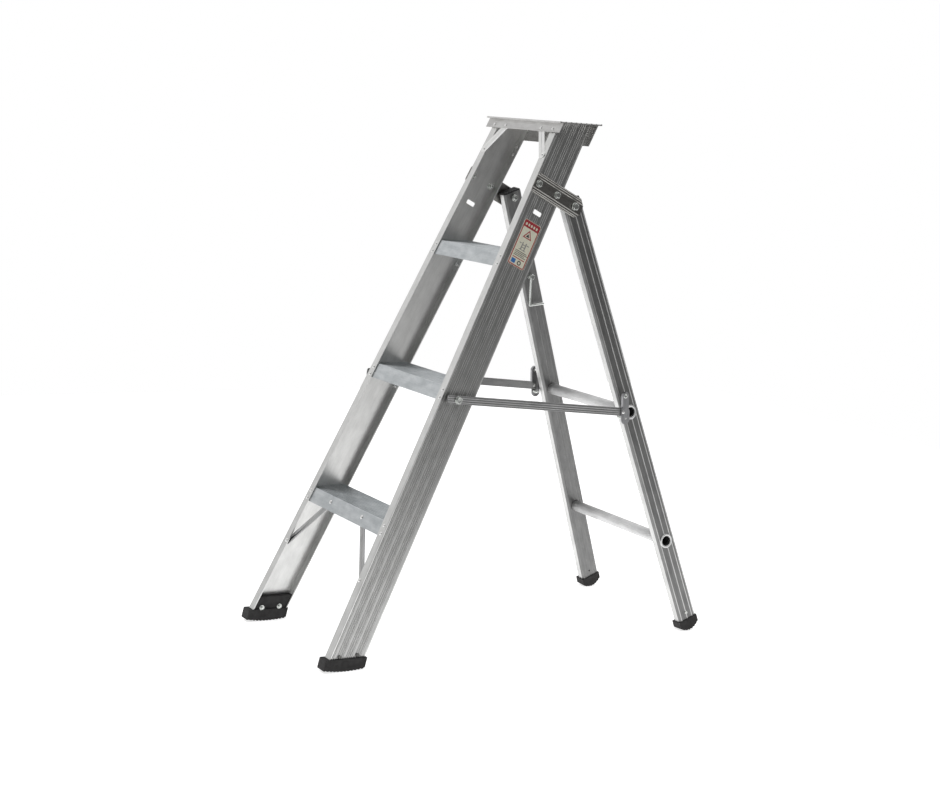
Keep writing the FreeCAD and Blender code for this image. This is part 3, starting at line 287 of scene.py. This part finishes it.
for side in ("right", "left"):
    out, back, up = STILE[side]
    level = reach("stile_" + side, out)
    # painted shade darkens the web's grooves to a tenth, and a painted highlight lifts its crests
    web = metal("stile_metal_" + side, STILE[side], (0.62, 0.62, 0.61), (0.84, 0.84, 0.83), (0.3, 0.46), 0.5,
                rib_shade_and_highlight=(out, level, STILE_RIB, 0.10, 1.15))
    assign("stile_" + side, web)
    out, back, up = LEG[side]
    level = reach("rear_leg_" + side, out)
    # painted shade in the grooves and over the whole inner face, painted highlight on the crests
    tube = metal("leg_metal_" + side, LEG[side], (0.52, 0.52, 0.52), (0.84, 0.84, 0.83), (0.42, 0.58),
                 rib_shade_and_highlight=(out, level, LEG_RIB, 0.36, 1.1), both=True)
    assign("rear_leg_" + side, tube)
    out, back, up = STILE[side]
    across = (out, up, back)
    level = reach("hinge_bracket_" + side, out)
    # painted shade in the bracket's grooves, painted highlight on its crests
    bar = metal("bracket_metal_" + side, across, (0.36, 0.35, 0.33), (0.56, 0.55, 0.53), (0.26, 0.42),
                rib_shade_and_highlight=(out, level, BRACKET_RIB, 0.5, 1.5))
    assign("hinge_bracket_" + side, bar)
    out = X if side == "right" else -X
    level = reach("spreader_arm_" + side, out)
    # painted shade in the arm's grooves, painted highlight on its crests
    arm = metal("arm_metal_" + side, (out, ARM[2], ARM[1]), (0.22, 0.22, 0.22), (0.36, 0.36, 0.36),
                (0.26, 0.42), rib_shade_and_highlight=(out, level, ARM_RIB, 0.6, 1.8))
    assign("spreader_arm_" + side, arm)
    plate = metal("plate_metal_" + side, (out, ARM[1], ARM[2]), (0.26, 0.26, 0.27), (0.46, 0.46, 0.47))
    assign("catch_plate_" + side, plate)
    strap = metal("strap_metal_" + side, FRONT, (0.74, 0.74, 0.73), (0.92, 0.92, 0.91), (0.3, 0.5))
    assign("platform_strap_" + side, strap)
    brace = metal("brace_metal_" + side, FRONT, (0.36, 0.36, 0.36), (0.58, 0.58, 0.58), (0.3, 0.5))
    assign("tread_brace_" + side, brace)

across_sheet = (FRONT[1], FRONT[2], FRONT[0])
# each tread's metal is a copy darkened by its own painted shade, most on the first tread; top lifts it again: the
# top face by a painted highlight, from 0.8 of top in the grooves to top on the crests, the other faces by 0.8 of
# top where that is above one
for i, painted_tread_shade, top in ((1, 0.44, 2.0), (2, 0.54, 1.65), (3, 0.74, 1.22)):
    dark, light = (0.62 * painted_tread_shade, 0.66 * painted_tread_shade, 0.68 * painted_tread_shade), (0.97 * painted_tread_shade, painted_tread_shade, 1.02 * painted_tread_shade)
    step = metal("tread_metal_%d" % i, across_sheet, dark, light, (0.34, 0.52), 0.5, 1.5,
                 rib_shade_and_highlight=(Z, reach("tread_%d" % i, Z), TREAD_RIB, 0.8 * top, top))
    assign("tread_%d" % i, step)
# painted shade in the deck's grooves, a faint painted highlight on its crests
deck = metal("platform_metal", across_sheet, (0.58, 0.57, 0.56), (0.88, 0.88, 0.87), (0.28, 0.5), 0.8, 1.0,
             rib_shade_and_highlight=(Z, reach("platform", Z), DECK_RIB, 0.8, 1.05))
assign("platform", deck)
rung_metal = metal("rung_metal", (Y, Z, X), (0.62, 0.62, 0.62), (0.90, 0.90, 0.90), (0.44, 0.6))
rivet_metal = metal("rivet_metal", WORLD, (0.72, 0.72, 0.71), (0.94, 0.94, 0.93), (0.2, 0.36))
zinc = metal("zinc_plating", WORLD, (0.52, 0.54, 0.52), (0.82, 0.84, 0.81), (0.18, 0.34))
# near-black painted shade for the inside of the rung bores and mouths
bore_shade = rubber("bore_painted_shade", (0.006, 0.006, 0.006), (0.02, 0.02, 0.02), (0.7, 0.9))
dark_steel = metal("dark_steel", WORLD, (0.08, 0.08, 0.08), (0.22, 0.22, 0.21), (0.3, 0.5))
shoe = rubber("foot_rubber", (0.016, 0.015, 0.015), (0.035, 0.034, 0.034))
cap = rubber("cap_plastic", (0.018, 0.018, 0.019), (0.04, 0.04, 0.042), (0.4, 0.6))
for name in ("front_foot_right", "front_foot_left", "rear_foot_right", "rear_foot_left"):
    assign(name, shoe)
    soften(name, FINE_EDGE)
for name in ("leg_cap_right", "leg_cap_left"):
    assign(name, cap)
    soften(name, CAP_EDGE)
for name in ("hook", "catch_stud_right", "catch_stud_left", "catch_pin_right", "catch_pin_left"):
    assign(name, zinc)
    soften(name, ZINC_EDGE)
for name in ("catch_plate_right", "catch_plate_left", "platform_strap_right", "platform_strap_left",
             "tread_brace_right", "tread_brace_left"):
    soften(name, FINE_EDGE, 40)


# ---- turned and hexagonal hardware -----------------------------------------------------
def stack(bm, origin, axis, rings, segments=48, smooth=(), hollow=False, dark=()):
    """A closed body of rings along an axis. A ring is (radius, height), or a function of angle.

    smooth lists the bands between rings that are shaded smooth, and dark those that take the
    second material. A hollow body closes on its first ring; any other is capped at both ends."""
    axis = Vector(axis).normalized()
    side = axis.orthogonal().normalized()
    other = axis.cross(side)
    loops = []
    for ring in rings:
        loop = []
        for i in range(segments):
            angle = 2 * math.pi * i / segments
            radius, height = ring(angle) if callable(ring) else ring
            way = side * math.cos(angle) + other * math.sin(angle)
            loop.append(bm.verts.new(origin + axis * height + way * radius))
        loops.append(loop)
    pairs = list(zip(loops, loops[1:]))
    if hollow:
        pairs.append((loops[-1], loops[0]))
    for band, (low, high) in enumerate(pairs):
        for i in range(segments):
            j = (i + 1) % segments
            face = bm.faces.new((low[i], low[j], high[j], high[i]))
            face.smooth = band in smooth
            face.material_index = int(band in dark)
    if not hollow:
        bm.faces.new(list(reversed(loops[0])))
        bm.faces.new(loops[-1])


def hex_ring(flats, height, chamfer=0.0):
    """A hexagonal ring; with a chamfer sign its corners are turned down like a real head's."""
    def ring(angle):
        part = math.fmod(angle, math.pi / 3) - math.pi / 6
        radius = flats / 2 / math.cos(part)
        drop = max(0.0, radius - flats * 0.5) * math.tan(HEX_CHAMFER)
        return radius, height + chamfer * (drop + 0.0003)
    return ring


def hex_body(bm, origin, axis, flats, height, both=False):
    """A hex head or nut from its seat outward, with a turned chamfer and a shallow dished top."""
    seat = [hex_ring(flats, 0.0, 1.0)] if both else [hex_ring(flats, 0.0)]
    if both:
        seat.insert(0, (flats * 0.48, 0.0))
    top = [hex_ring(flats, height, -1.0), (flats * 0.475, height), (flats * 0.40, height - 0.0001),
           (flats * 0.38, height - 0.0005), (0.0004, height - 0.0006)]
    stack(bm, origin, axis, seat + top)


def washer_body(bm, origin, axis, radius, height):
    """A flat washer with rounded rims."""
    edge = min(0.0003, height * 0.3)
    stack(bm, origin, axis, [(radius - edge, 0.0), (radius, edge), (radius, height - edge),
                             (radius - edge, height), (radius * 0.6, height)], smooth=(1,))


def thread_body(bm, origin, axis, radius, height, pitch=0.0011):
    """A length of thread, as ridges one pitch apart."""
    rings = [(radius - 0.0004, 0.0)]
    turns = max(2, int(height / pitch))
    step = height / turns
    for i in range(turns):
        rings.append((radius - 0.0005, (i + 0.25) * step))
        rings.append((radius, (i + 0.75) * step))
    rings.append((radius - 0.0007, height))
    stack(bm, origin, axis, rings, 32)


def islands(node):
    """The separate bodies of a CAD node, each as its list of points."""
    mesh = frame["nodes"][node].data
    key = {}
    link = {}

    def root(k):
        while link[k] != k:
            link[k] = link[link[k]]
            k = link[k]
        return k

    for v in mesh.vertices:
        k = tuple(round(c, 6) for c in v.co)
        key[v.index] = k
        link.setdefault(k, k)
    for p in mesh.polygons:
        first = root(key[p.vertices[0]])
        for i in p.vertices[1:]:
            link[root(key[i])] = first
    groups = {}
    for k in link:
        groups.setdefault(root(k), []).append(Vector(k))
    return sorted(groups.values(), key=lambda g: tuple(round(c, 4) for c in g[0]))


def ends(points, axis):
    """The middle line's two end points along an axis, and the radius at each."""
    middle = sum(points, Vector()) / len(points)
    heights = [(p - middle).dot(axis) for p in points]
    out = []
    for limit in (min(heights), max(heights)):
        near = [p for p, h in zip(points, heights) if abs(h - limit) < 0.0002]
        low = [min((p - middle).dot(a) for p in points) for a in WORLD]
        high = [max((p - middle).dot(a) for p in points) for a in WORLD]
        box_middle = middle + sum((a * (l + h) / 2 for a, l, h in zip(WORLD, low, high)), Vector())
        along = box_middle + axis * (limit - (box_middle - middle).dot(axis))
        out.append((along, max((p - along).length for p in near)))
    return out


def piece(name, bm, material, node):
    """A finished mesh piece that stands for a CAD node."""
    mesh = bpy.data.meshes.new(name)
    bmesh.ops.recalc_face_normals(bm, faces=bm.faces)
    bm.to_mesh(mesh)
    bm.free()
    obj = bpy.data.objects.new(name, mesh)
    bpy.context.collection.objects.link(obj)
    mesh.materials.append(material)
    for body, nodes in frame["record"]["behaviour"]["bodies"].items():
        if node in nodes:
            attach(obj, body)
    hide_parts(node)
    return obj


def dome_rivets(node, axis, radius=4.2 * MM):
    """Round-headed rivets with a dimple, and their flat tails."""
    bm = bmesh.new()
    for points in islands(node):
        (a, ra), (b, rb) = ends(points, axis)
        way = axis if ra < rb else -axis
        tip, tail = (a, b) if ra < rb else (b, a)
        length = (tail - tip).length
        rim = 1.55 * MM
        rings = [(0.3 * MM, 0.30 * MM), (0.75 * MM, 0.22 * MM), (1.0 * MM, 0.02 * MM)]
        for k in range(1, 9):
            turn = math.pi / 2 * k / 8
            rings.append((1.0 * MM + (radius - 1.0 * MM) * math.sin(turn), rim * (1 - math.cos(turn))))
        rings += [(radius, rim + 0.25 * MM), (2.4 * MM, rim + 0.3 * MM), (2.4 * MM, length - 1.4 * MM),
                  (3.5 * MM, length - 1.3 * MM), (3.6 * MM, length - 0.4 * MM), (3.2 * MM, length)]
        stack(bm, tip, way, rings, 32, smooth=range(0, 12))
    return piece(node + "_domes", bm, rivet_metal, node)


def hex_bolts(node, leaning, parts, dark_heads=False):
    """Bolts built from the head's end inward: parts are (kind, size, height) in mm; one height is None.

    leaning says that their axis is square to the web, not level."""
    bm = bmesh.new()
    parts = [(kind, size * MM, height and height * MM) for kind, size, height in parts]
    for points in islands(node):
        side = "right" if points[0].x > 0 else "left"
        (a, ra), (b, rb) = ends(points, STILE[side][0] if leaning else X)
        way = (b - a).normalized() if ra > rb else (a - b).normalized()
        start = a if ra > rb else b
        total = (b - a).length
        spare = total - sum(h for _, _, h in parts if h)
        at = 0.0
        for kind, size, height in parts:
            height = height or spare
            low = start + way * at
            high = start + way * (at + height)
            if kind == "head":
                count = len(bm.faces)
                hex_body(bm, high, -way, size, height)
                bm.faces.ensure_lookup_table()
                for face in bm.faces[count:]:
                    face.material_index = int(dark_heads)
            elif kind == "nut":
                hex_body(bm, low, way, size, height, both=True)
            elif kind == "washer":
                washer_body(bm, low, way, size, height)
            else:
                thread_body(bm, low, way, size, height)
            at += height
    obj = piece(node + "_hex", bm, zinc, node)
    obj.data.materials.append(dark_steel)
    return obj


dome_rivets("tread_rivets", FRONT[1])
dome_rivets("platform_rivets", FRONT[1])
dome_rivets("brace_rivets", FRONT[1], 4.8 * MM)
dome_rivets("plate_rivet_right", X)
dome_rivets("plate_rivet_left", X)

hex_bolts("bracket_bolts", True, [("head", 12.5, 5.0), ("washer", 8.5, 1.3), ("thread", 3.9, 5.4),
                                  ("washer", 8.5, 1.3), ("nut", 12.5, 5.2), ("thread", 3.9, None)])
hex_bolts("pivot_bolts", False, [("head", 15.0, 5.5), ("washer", 9.0, 1.5), ("thread", 5.0, None),
                                 ("nut", 15.0, 6.0), ("thread", 5.0, 3.5)])
hex_bolts("arm_bolts", False, [("head", 14.0, 5.5), ("washer", 9.0, 1.5), ("thread", 5.0, None),
                               ("washer", 9.0, 1.2), ("nut", 14.0, 5.5), ("thread", 5.0, 3.5)])
hex_bolts("front_foot_bolts", True, [("head", 8.0, 2.6), ("thread", 2.2, None), ("washer", 6.4, 1.2),
                                     ("nut", 8.0, 3.2), ("thread", 2.2, 1.2)], dark_heads=True)
hex_bolts("hook_bolt", False, [("head", 12.0, 4.5), ("thread", 4.0, 6.8), ("washer", 7.5, 3.0),
                               ("thread", 4.0, None)])


def sleeves(node, name, bore):
    """Plain rings and sleeves with turned edges."""
    bm = bmesh.new()
    for points in islands(node):
        (a, ra), (b, rb) = ends(points, X)
        length = (b - a).length
        edge = min(0.3 * MM, length * 0.25)
        rings = [(bore, edge), (bore + edge, 0), (ra - edge, 0), (ra, edge), (ra, length - edge),
                 (ra - edge, length), (bore + edge, length), (bore, length - edge)]
        stack(bm, a, (b - a).normalized(), rings, 40, smooth=(3, 7), hollow=True)
    return piece(name, bm, zinc, node)


sleeves("arm_spacers", "arm_sleeves", 5.0 * MM)
sleeves("pivot_washers", "pivot_rings", 5.0 * MM)


def pan_screws(node):
    """Low round screw heads with a cross recess, at the rear feet."""
    bm = bmesh.new()
    for points in islands(node):
        side = "right" if points[0].x > 0 else "left"
        (a, ra), (b, rb) = ends(points, LEG[side][0])
        start, other = (a, b) if ra > rb else (b, a)
        way = (other - start).normalized()

        def recess(angle):
            arm = abs(math.sin(2 * angle)) < 0.5
            return (2.3 * MM if arm else 1.0 * MM), 0.1 * MM

        def floor(angle):
            return recess(angle)[0] * 0.7, 0.9 * MM

        rings = [floor, recess, (2.9 * MM, 0.05 * MM), (3.5 * MM, 0.35 * MM), (3.9 * MM, 0.95 * MM),
                 (4.0 * MM, 1.8 * MM), (2.2 * MM, 1.9 * MM), (2.2 * MM, (b - a).length)]
        stack(bm, start, way, rings, 48, smooth=(2, 3, 4))
    return piece("rear_foot_pan_screws", bm, zinc, node)


pan_screws("rear_foot_screws")


def eyelet(side):
    """A rolled eyelet through the catch plate."""
    node = "eyelet_" + side
    low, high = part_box(node)
    middle = (Vector(low) + Vector(high)) / 2
    out = X if side == "right" else -X
    length = high[0] - low[0]
    start = Vector((high[0] if side == "right" else low[0], middle.y, middle.z))
    profile = [(2.6, 0.9), (2.75, 0.4), (3.2, 0.05), (4.3, 0.0), (5.6, 0.15), (6.3, 0.55), (6.5, 1.1),
               (4.0, 1.2)]
    rings = [(r * MM, h * MM) for r, h in profile]
    rings += [(4.0 * MM, length - 1.0 * MM), (6.4 * MM, length - 1.0 * MM), (6.2 * MM, length - 0.2 * MM),
              (5.6 * MM, length), (3.0 * MM, length), (2.6 * MM, length - 0.4 * MM)]
    bm = bmesh.new()
    stack(bm, start, -out, rings, 40, smooth=range(0, 6), hollow=True)
    return piece("rolled_eyelet_" + side, bm, zinc, node)


eyelet("right")
eyelet("left")


# ---- rungs -----------------------------------------------------------------------------
def rung(node):
    """A fluted tube, each end spread over the leg's outer face into a ring with a serrated mouth."""
    low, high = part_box(node)
    middle = (Vector(low) + Vector(high)) / 2
    outer = (high[2] - low[2]) / 2
    end = high[0] - 1.8 * MM - outer * math.sin(FLARE_REAR)

    def fluted(height):
        def ring(angle):
            wave = abs(math.sin(angle * RUNG_FLUTES / 2))
            return RUNG_RADIUS - FLUTE_DEEP * (1 - wave) ** 2, height
        return ring

    def serrated(size, height):
        def ring(angle):
            tooth = abs(math.fmod(angle * MOUTH_TEETH / (2 * math.pi), 1.0) - 0.5) * 2
            return size + TOOTH_HIGH * (tooth - 0.5), height
        return ring

    bm = bmesh.new()
    start = middle - X * (end - 3 * MM)
    length = 2 * (end - 3 * MM)
    tube = [fluted(0), fluted(length * 0.5), fluted(length), (RUNG_BORE, length), (RUNG_BORE, 0)]
    # the bore takes the second material, a painted shade
    stack(bm, start, X, tube, 288, smooth=(0, 1, 3), hollow=True, dark=(3,))
    for side in ("right", "left"):
        out = LEG[side][0]
        face = middle + (X if side == "right" else -X) * end
        profile = [(17.6, -0.2), (17.7, 0.6), (17.2, 1.2), (16.2, 1.6), (15.0, 1.75), (13.8, 1.6),
                   (13.0, 1.2)]
        rings = [(r * MM, h * MM) for r, h in profile]
        rings += [serrated(12.1 * MM, 0.6 * MM), serrated(11.9 * MM, -5 * MM), (13.0 * MM, -5.2 * MM),
                  (13.0 * MM, -0.4 * MM)]
        # the band inside the serrated mouth takes the same painted shade
        stack(bm, face, out, rings, 144, smooth=range(0, 6), hollow=True, dark=(7,))
    obj = piece(node + "_tube", bm, rung_metal, node)
    obj.data.materials.append(bore_shade)


rung("upper_rung")
rung("lower_rung")


# ---- label -----------------------------------------------------------------------------
CREAM, RED, BLACK, GREY, BLUE = range(5)
INKS = [ink("label_film_cream", (0.76, 0.74, 0.60)), ink("label_print_red", (0.36, 0.02, 0.03)),
        ink("label_print_black", (0.03, 0.03, 0.035)), ink("label_print_grey", (0.30, 0.30, 0.28)),
        ink("label_print_blue", (0.03, 0.16, 0.45))]


def rounded(x0, y0, x1, y1, radius, steps=6):
    """The outline of a rectangle with round corners."""
    points = []
    corners = ((x1 - radius, y1 - radius, 0), (x0 + radius, y1 - radius, 90),
               (x0 + radius, y0 + radius, 180), (x1 - radius, y0 + radius, 270))
    for cx, cy, start in corners:
        for k in range(steps + 1):
            turn = math.radians(start + 90 * k / steps)
            points.append((cx + radius * math.cos(turn), cy + radius * math.sin(turn)))
    return points


def label():
    """A wordless label: a bordered film with a banded head, a triangle and plain blocks."""
    out, back, up = STILE["right"]
    x0 = -reach("label", -back)
    y0 = -reach("label", -up)
    base = -reach("label", -out)
    wide = (reach("label", back) - x0) / MM
    tall = (reach("label", up) - y0) / MM
    bm = bmesh.new()

    def layer(points, low, high, color):
        """A flat printed shape, as a closed thin solid."""
        loops = []
        for level in (low, high):
            loops.append([bm.verts.new(out * (base + level * MM) + back * (x0 + x * MM) + up * (y0 + y * MM))
                          for x, y in points])
        faces = [bm.faces.new(list(reversed(loops[0]))), bm.faces.new(loops[1])]
        count = len(points)
        for i in range(count):
            j = (i + 1) % count
            faces.append(bm.faces.new((loops[0][i], loops[0][j], loops[1][j], loops[1][i])))
        for face in faces:
            face.material_index = color

    def block(ax, ay, bx, by, color, level=0.24, radius=0.3):
        layer(rounded(ax, ay, bx, by, radius, 3), 0.1, level, color)

    layer(rounded(0, 0, wide, tall, 5.0), 0.0, 0.16, CREAM)
    layer(rounded(0.9, 0.9, wide - 0.9, tall - 0.9, 4.4), 0.08, 0.19, RED)
    layer(rounded(3.4, 3.4, wide - 3.4, tall - 17.5, 2.2), 0.1, 0.21, CREAM)
    for i in range(5):
        left = 6.0 + i * 7.8
        block(left, tall - 13.2, left + 4.6, tall - 7.0, CREAM, 0.23, 1.2)
    top = tall - 20.0
    mid = wide / 2
    layer([(mid - 13, top - 21), (mid + 13, top - 21), (mid, top)], 0.1, 0.24, RED)
    layer([(mid - 8.6, top - 18.6), (mid + 8.6, top - 18.6), (mid, top - 4.8)], 0.1, 0.26, CREAM)
    layer([(mid - 5.2, top - 17.2), (mid + 5.2, top - 17.2), (mid, top - 9.4)], 0.1, 0.28, BLACK)
    for x, y, w, h in ((10, 58, 6, 2), (32, 58, 7, 2), (18, 45, 3, 18), (28, 45, 3, 18), (20, 50, 9, 2),
                       (20, 56, 9, 2), (14, 44, 21, 1.6)):
        block(x, y - 4, x + w, y - 4 + h, GREY)
    for row, length in enumerate((34, 38, 30, 36)):
        block(7, 35 - row * 3.6, 7 + length, 36.4 - row * 3.6, BLACK)
    block(7, 18.6, wide - 7, 20.6, RED)
    block(7, 5.6, 19, 16.0, BLUE, radius=1.5)
    layer(rounded(25, 5.6, 36, 16.0, 5.0), 0.1, 0.24, BLACK)
    layer(rounded(27.6, 8.0, 33.4, 13.6, 2.7), 0.1, 0.26, CREAM)
    obj = piece("plain_label", bm, INKS[0], "label")
    for material in INKS[1:]:
        obj.data.materials.append(material)


label()


# ---- floor, light and camera -----------------------------------------------------------
def build_floor():
    """Pale paper that glows a little, less towards the object's right."""
    mesh = bpy.data.meshes.new("floor")
    corners = [(x * FLOOR_HALF, y * FLOOR_HALF, 0) for x, y in ((-1, -1), (1, -1), (1, 1), (-1, 1))]
    mesh.from_pydata(corners, [], [(0, 1, 2, 3)])
    floor = bpy.data.objects.new("floor", mesh)
    bpy.context.collection.objects.link(floor)
    m = Nodes("floor_paper")
    m.base(m.mix(m.noise(m.coord, 3.0, 3.0), (0.86, 0.86, 0.86), (0.89, 0.89, 0.89)))
    m.shader.inputs["Roughness"].default_value = 0.9
    m.shader.inputs["Specular IOR Level"].default_value = 0.1
    m.shader.inputs["Emission Color"].default_value = (1, 1, 1, 1)
    m.plug(m.remap(m.along(X), *FLOOR_GLOW), m.shader.inputs["Emission Strength"])
    mesh.materials.append(m.material)


def build_world():
    """A pale room, brightest to the object's left and overhead, dim to its right."""
    world = bpy.data.worlds.new("studio")
    bpy.context.scene.world = world
    world.use_nodes = True
    tree = world.node_tree
    for n in list(tree.nodes):
        tree.nodes.remove(n)

    def math_node(operation, a, b=0.0, clamp=False):
        n = tree.nodes.new("ShaderNodeMath")
        n.operation = operation
        n.use_clamp = clamp
        for value, socket in ((a, n.inputs[0]), (b, n.inputs[1])):
            if isinstance(value, bpy.types.NodeSocket):
                tree.links.new(value, socket)
            else:
                socket.default_value = value
        return n.outputs[0]

    split = tree.nodes.new("ShaderNodeSeparateXYZ")
    tree.links.new(tree.nodes.new("ShaderNodeTexCoord").outputs["Generated"], split.inputs[0])
    side = math_node("MULTIPLY", split.outputs["X"], ROOM_FALL)
    level = math_node("MULTIPLY", math_node("EXPONENT", side), ROOM_LEVEL)
    ramp = tree.nodes.new("ShaderNodeMapRange")
    ramp.interpolation_type = "SMOOTHSTEP"
    ramp.inputs["From Min"].default_value = OVERHEAD[0]
    ramp.inputs["From Max"].default_value = OVERHEAD[1]
    tree.links.new(split.outputs["Z"], ramp.inputs["Value"])
    up = ramp.outputs["Result"]
    sky = math_node("ADD", math_node("MULTIPLY", level, math_node("SUBTRACT", 1.0, up)),
                    math_node("MULTIPLY", up, OVERHEAD_LEVEL))
    light = tree.nodes.new("ShaderNodeBackground")
    tree.links.new(sky, light.inputs["Strength"])
    plain = tree.nodes.new("ShaderNodeBackground")
    plain.inputs["Color"].default_value = (1, 1, 1, 1)
    plain.inputs["Strength"].default_value = 1.0
    mix = tree.nodes.new("ShaderNodeMixShader")
    tree.links.new(tree.nodes.new("ShaderNodeLightPath").outputs["Is Camera Ray"], mix.inputs[0])
    tree.links.new(light.outputs[0], mix.inputs[1])
    tree.links.new(plain.outputs[0], mix.inputs[2])
    tree.links.new(mix.outputs[0], tree.nodes.new("ShaderNodeOutputWorld").inputs[0])


def area_light(name, position, target, width, height, power):
    """A soft rectangular light turned to its target."""
    data = bpy.data.lights.new(name, "AREA")
    data.shape = "RECTANGLE"
    data.size = width
    data.size_y = height
    data.energy = power
    obj = bpy.data.objects.new(name, data)
    obj.location = position
    obj.rotation_euler = (Vector(target) - Vector(position)).to_track_quat("-Z", "Y").to_euler()
    bpy.context.collection.objects.link(obj)


def build_camera():
    """A camera placed from the frame's hinge, in front of the object's right side."""
    hinge = Vector(frame["joints"][0]["pos_m"])
    place = hinge + Vector(CAMERA_FROM_HINGE)
    forward = Vector(CAMERA_FORWARD).normalized()
    level = forward.cross(Z).normalized()
    upright = level.cross(forward)
    right = level * math.cos(CAMERA_ROLL) + upright * math.sin(CAMERA_ROLL)
    up = upright * math.cos(CAMERA_ROLL) - level * math.sin(CAMERA_ROLL)
    data = bpy.data.cameras.new("camera")
    data.sensor_fit = "HORIZONTAL"
    data.sensor_width = CAMERA_SENSOR
    data.lens = CAMERA_LENS
    data.shift_y = CAMERA_SHIFT
    camera = bpy.data.objects.new("camera", data)
    turn = Matrix((right, up, -forward)).transposed()
    camera.matrix_world = Matrix.Translation(place) @ turn.to_4x4()
    bpy.context.collection.objects.link(camera)
    bpy.context.scene.camera = camera


build_floor()
build_world()
area_light("key", (-2.6, -2.2, 2.4), (0, 0, 0.6), 2.4, 2.4, 4)
area_light("overhead", (0.0, 0.2, 3.6), (0, 0, 0), 3.0, 3.0, 10)
build_camera()
view = bpy.context.scene.view_settings
view.view_transform = "Standard"
view.look = "None"
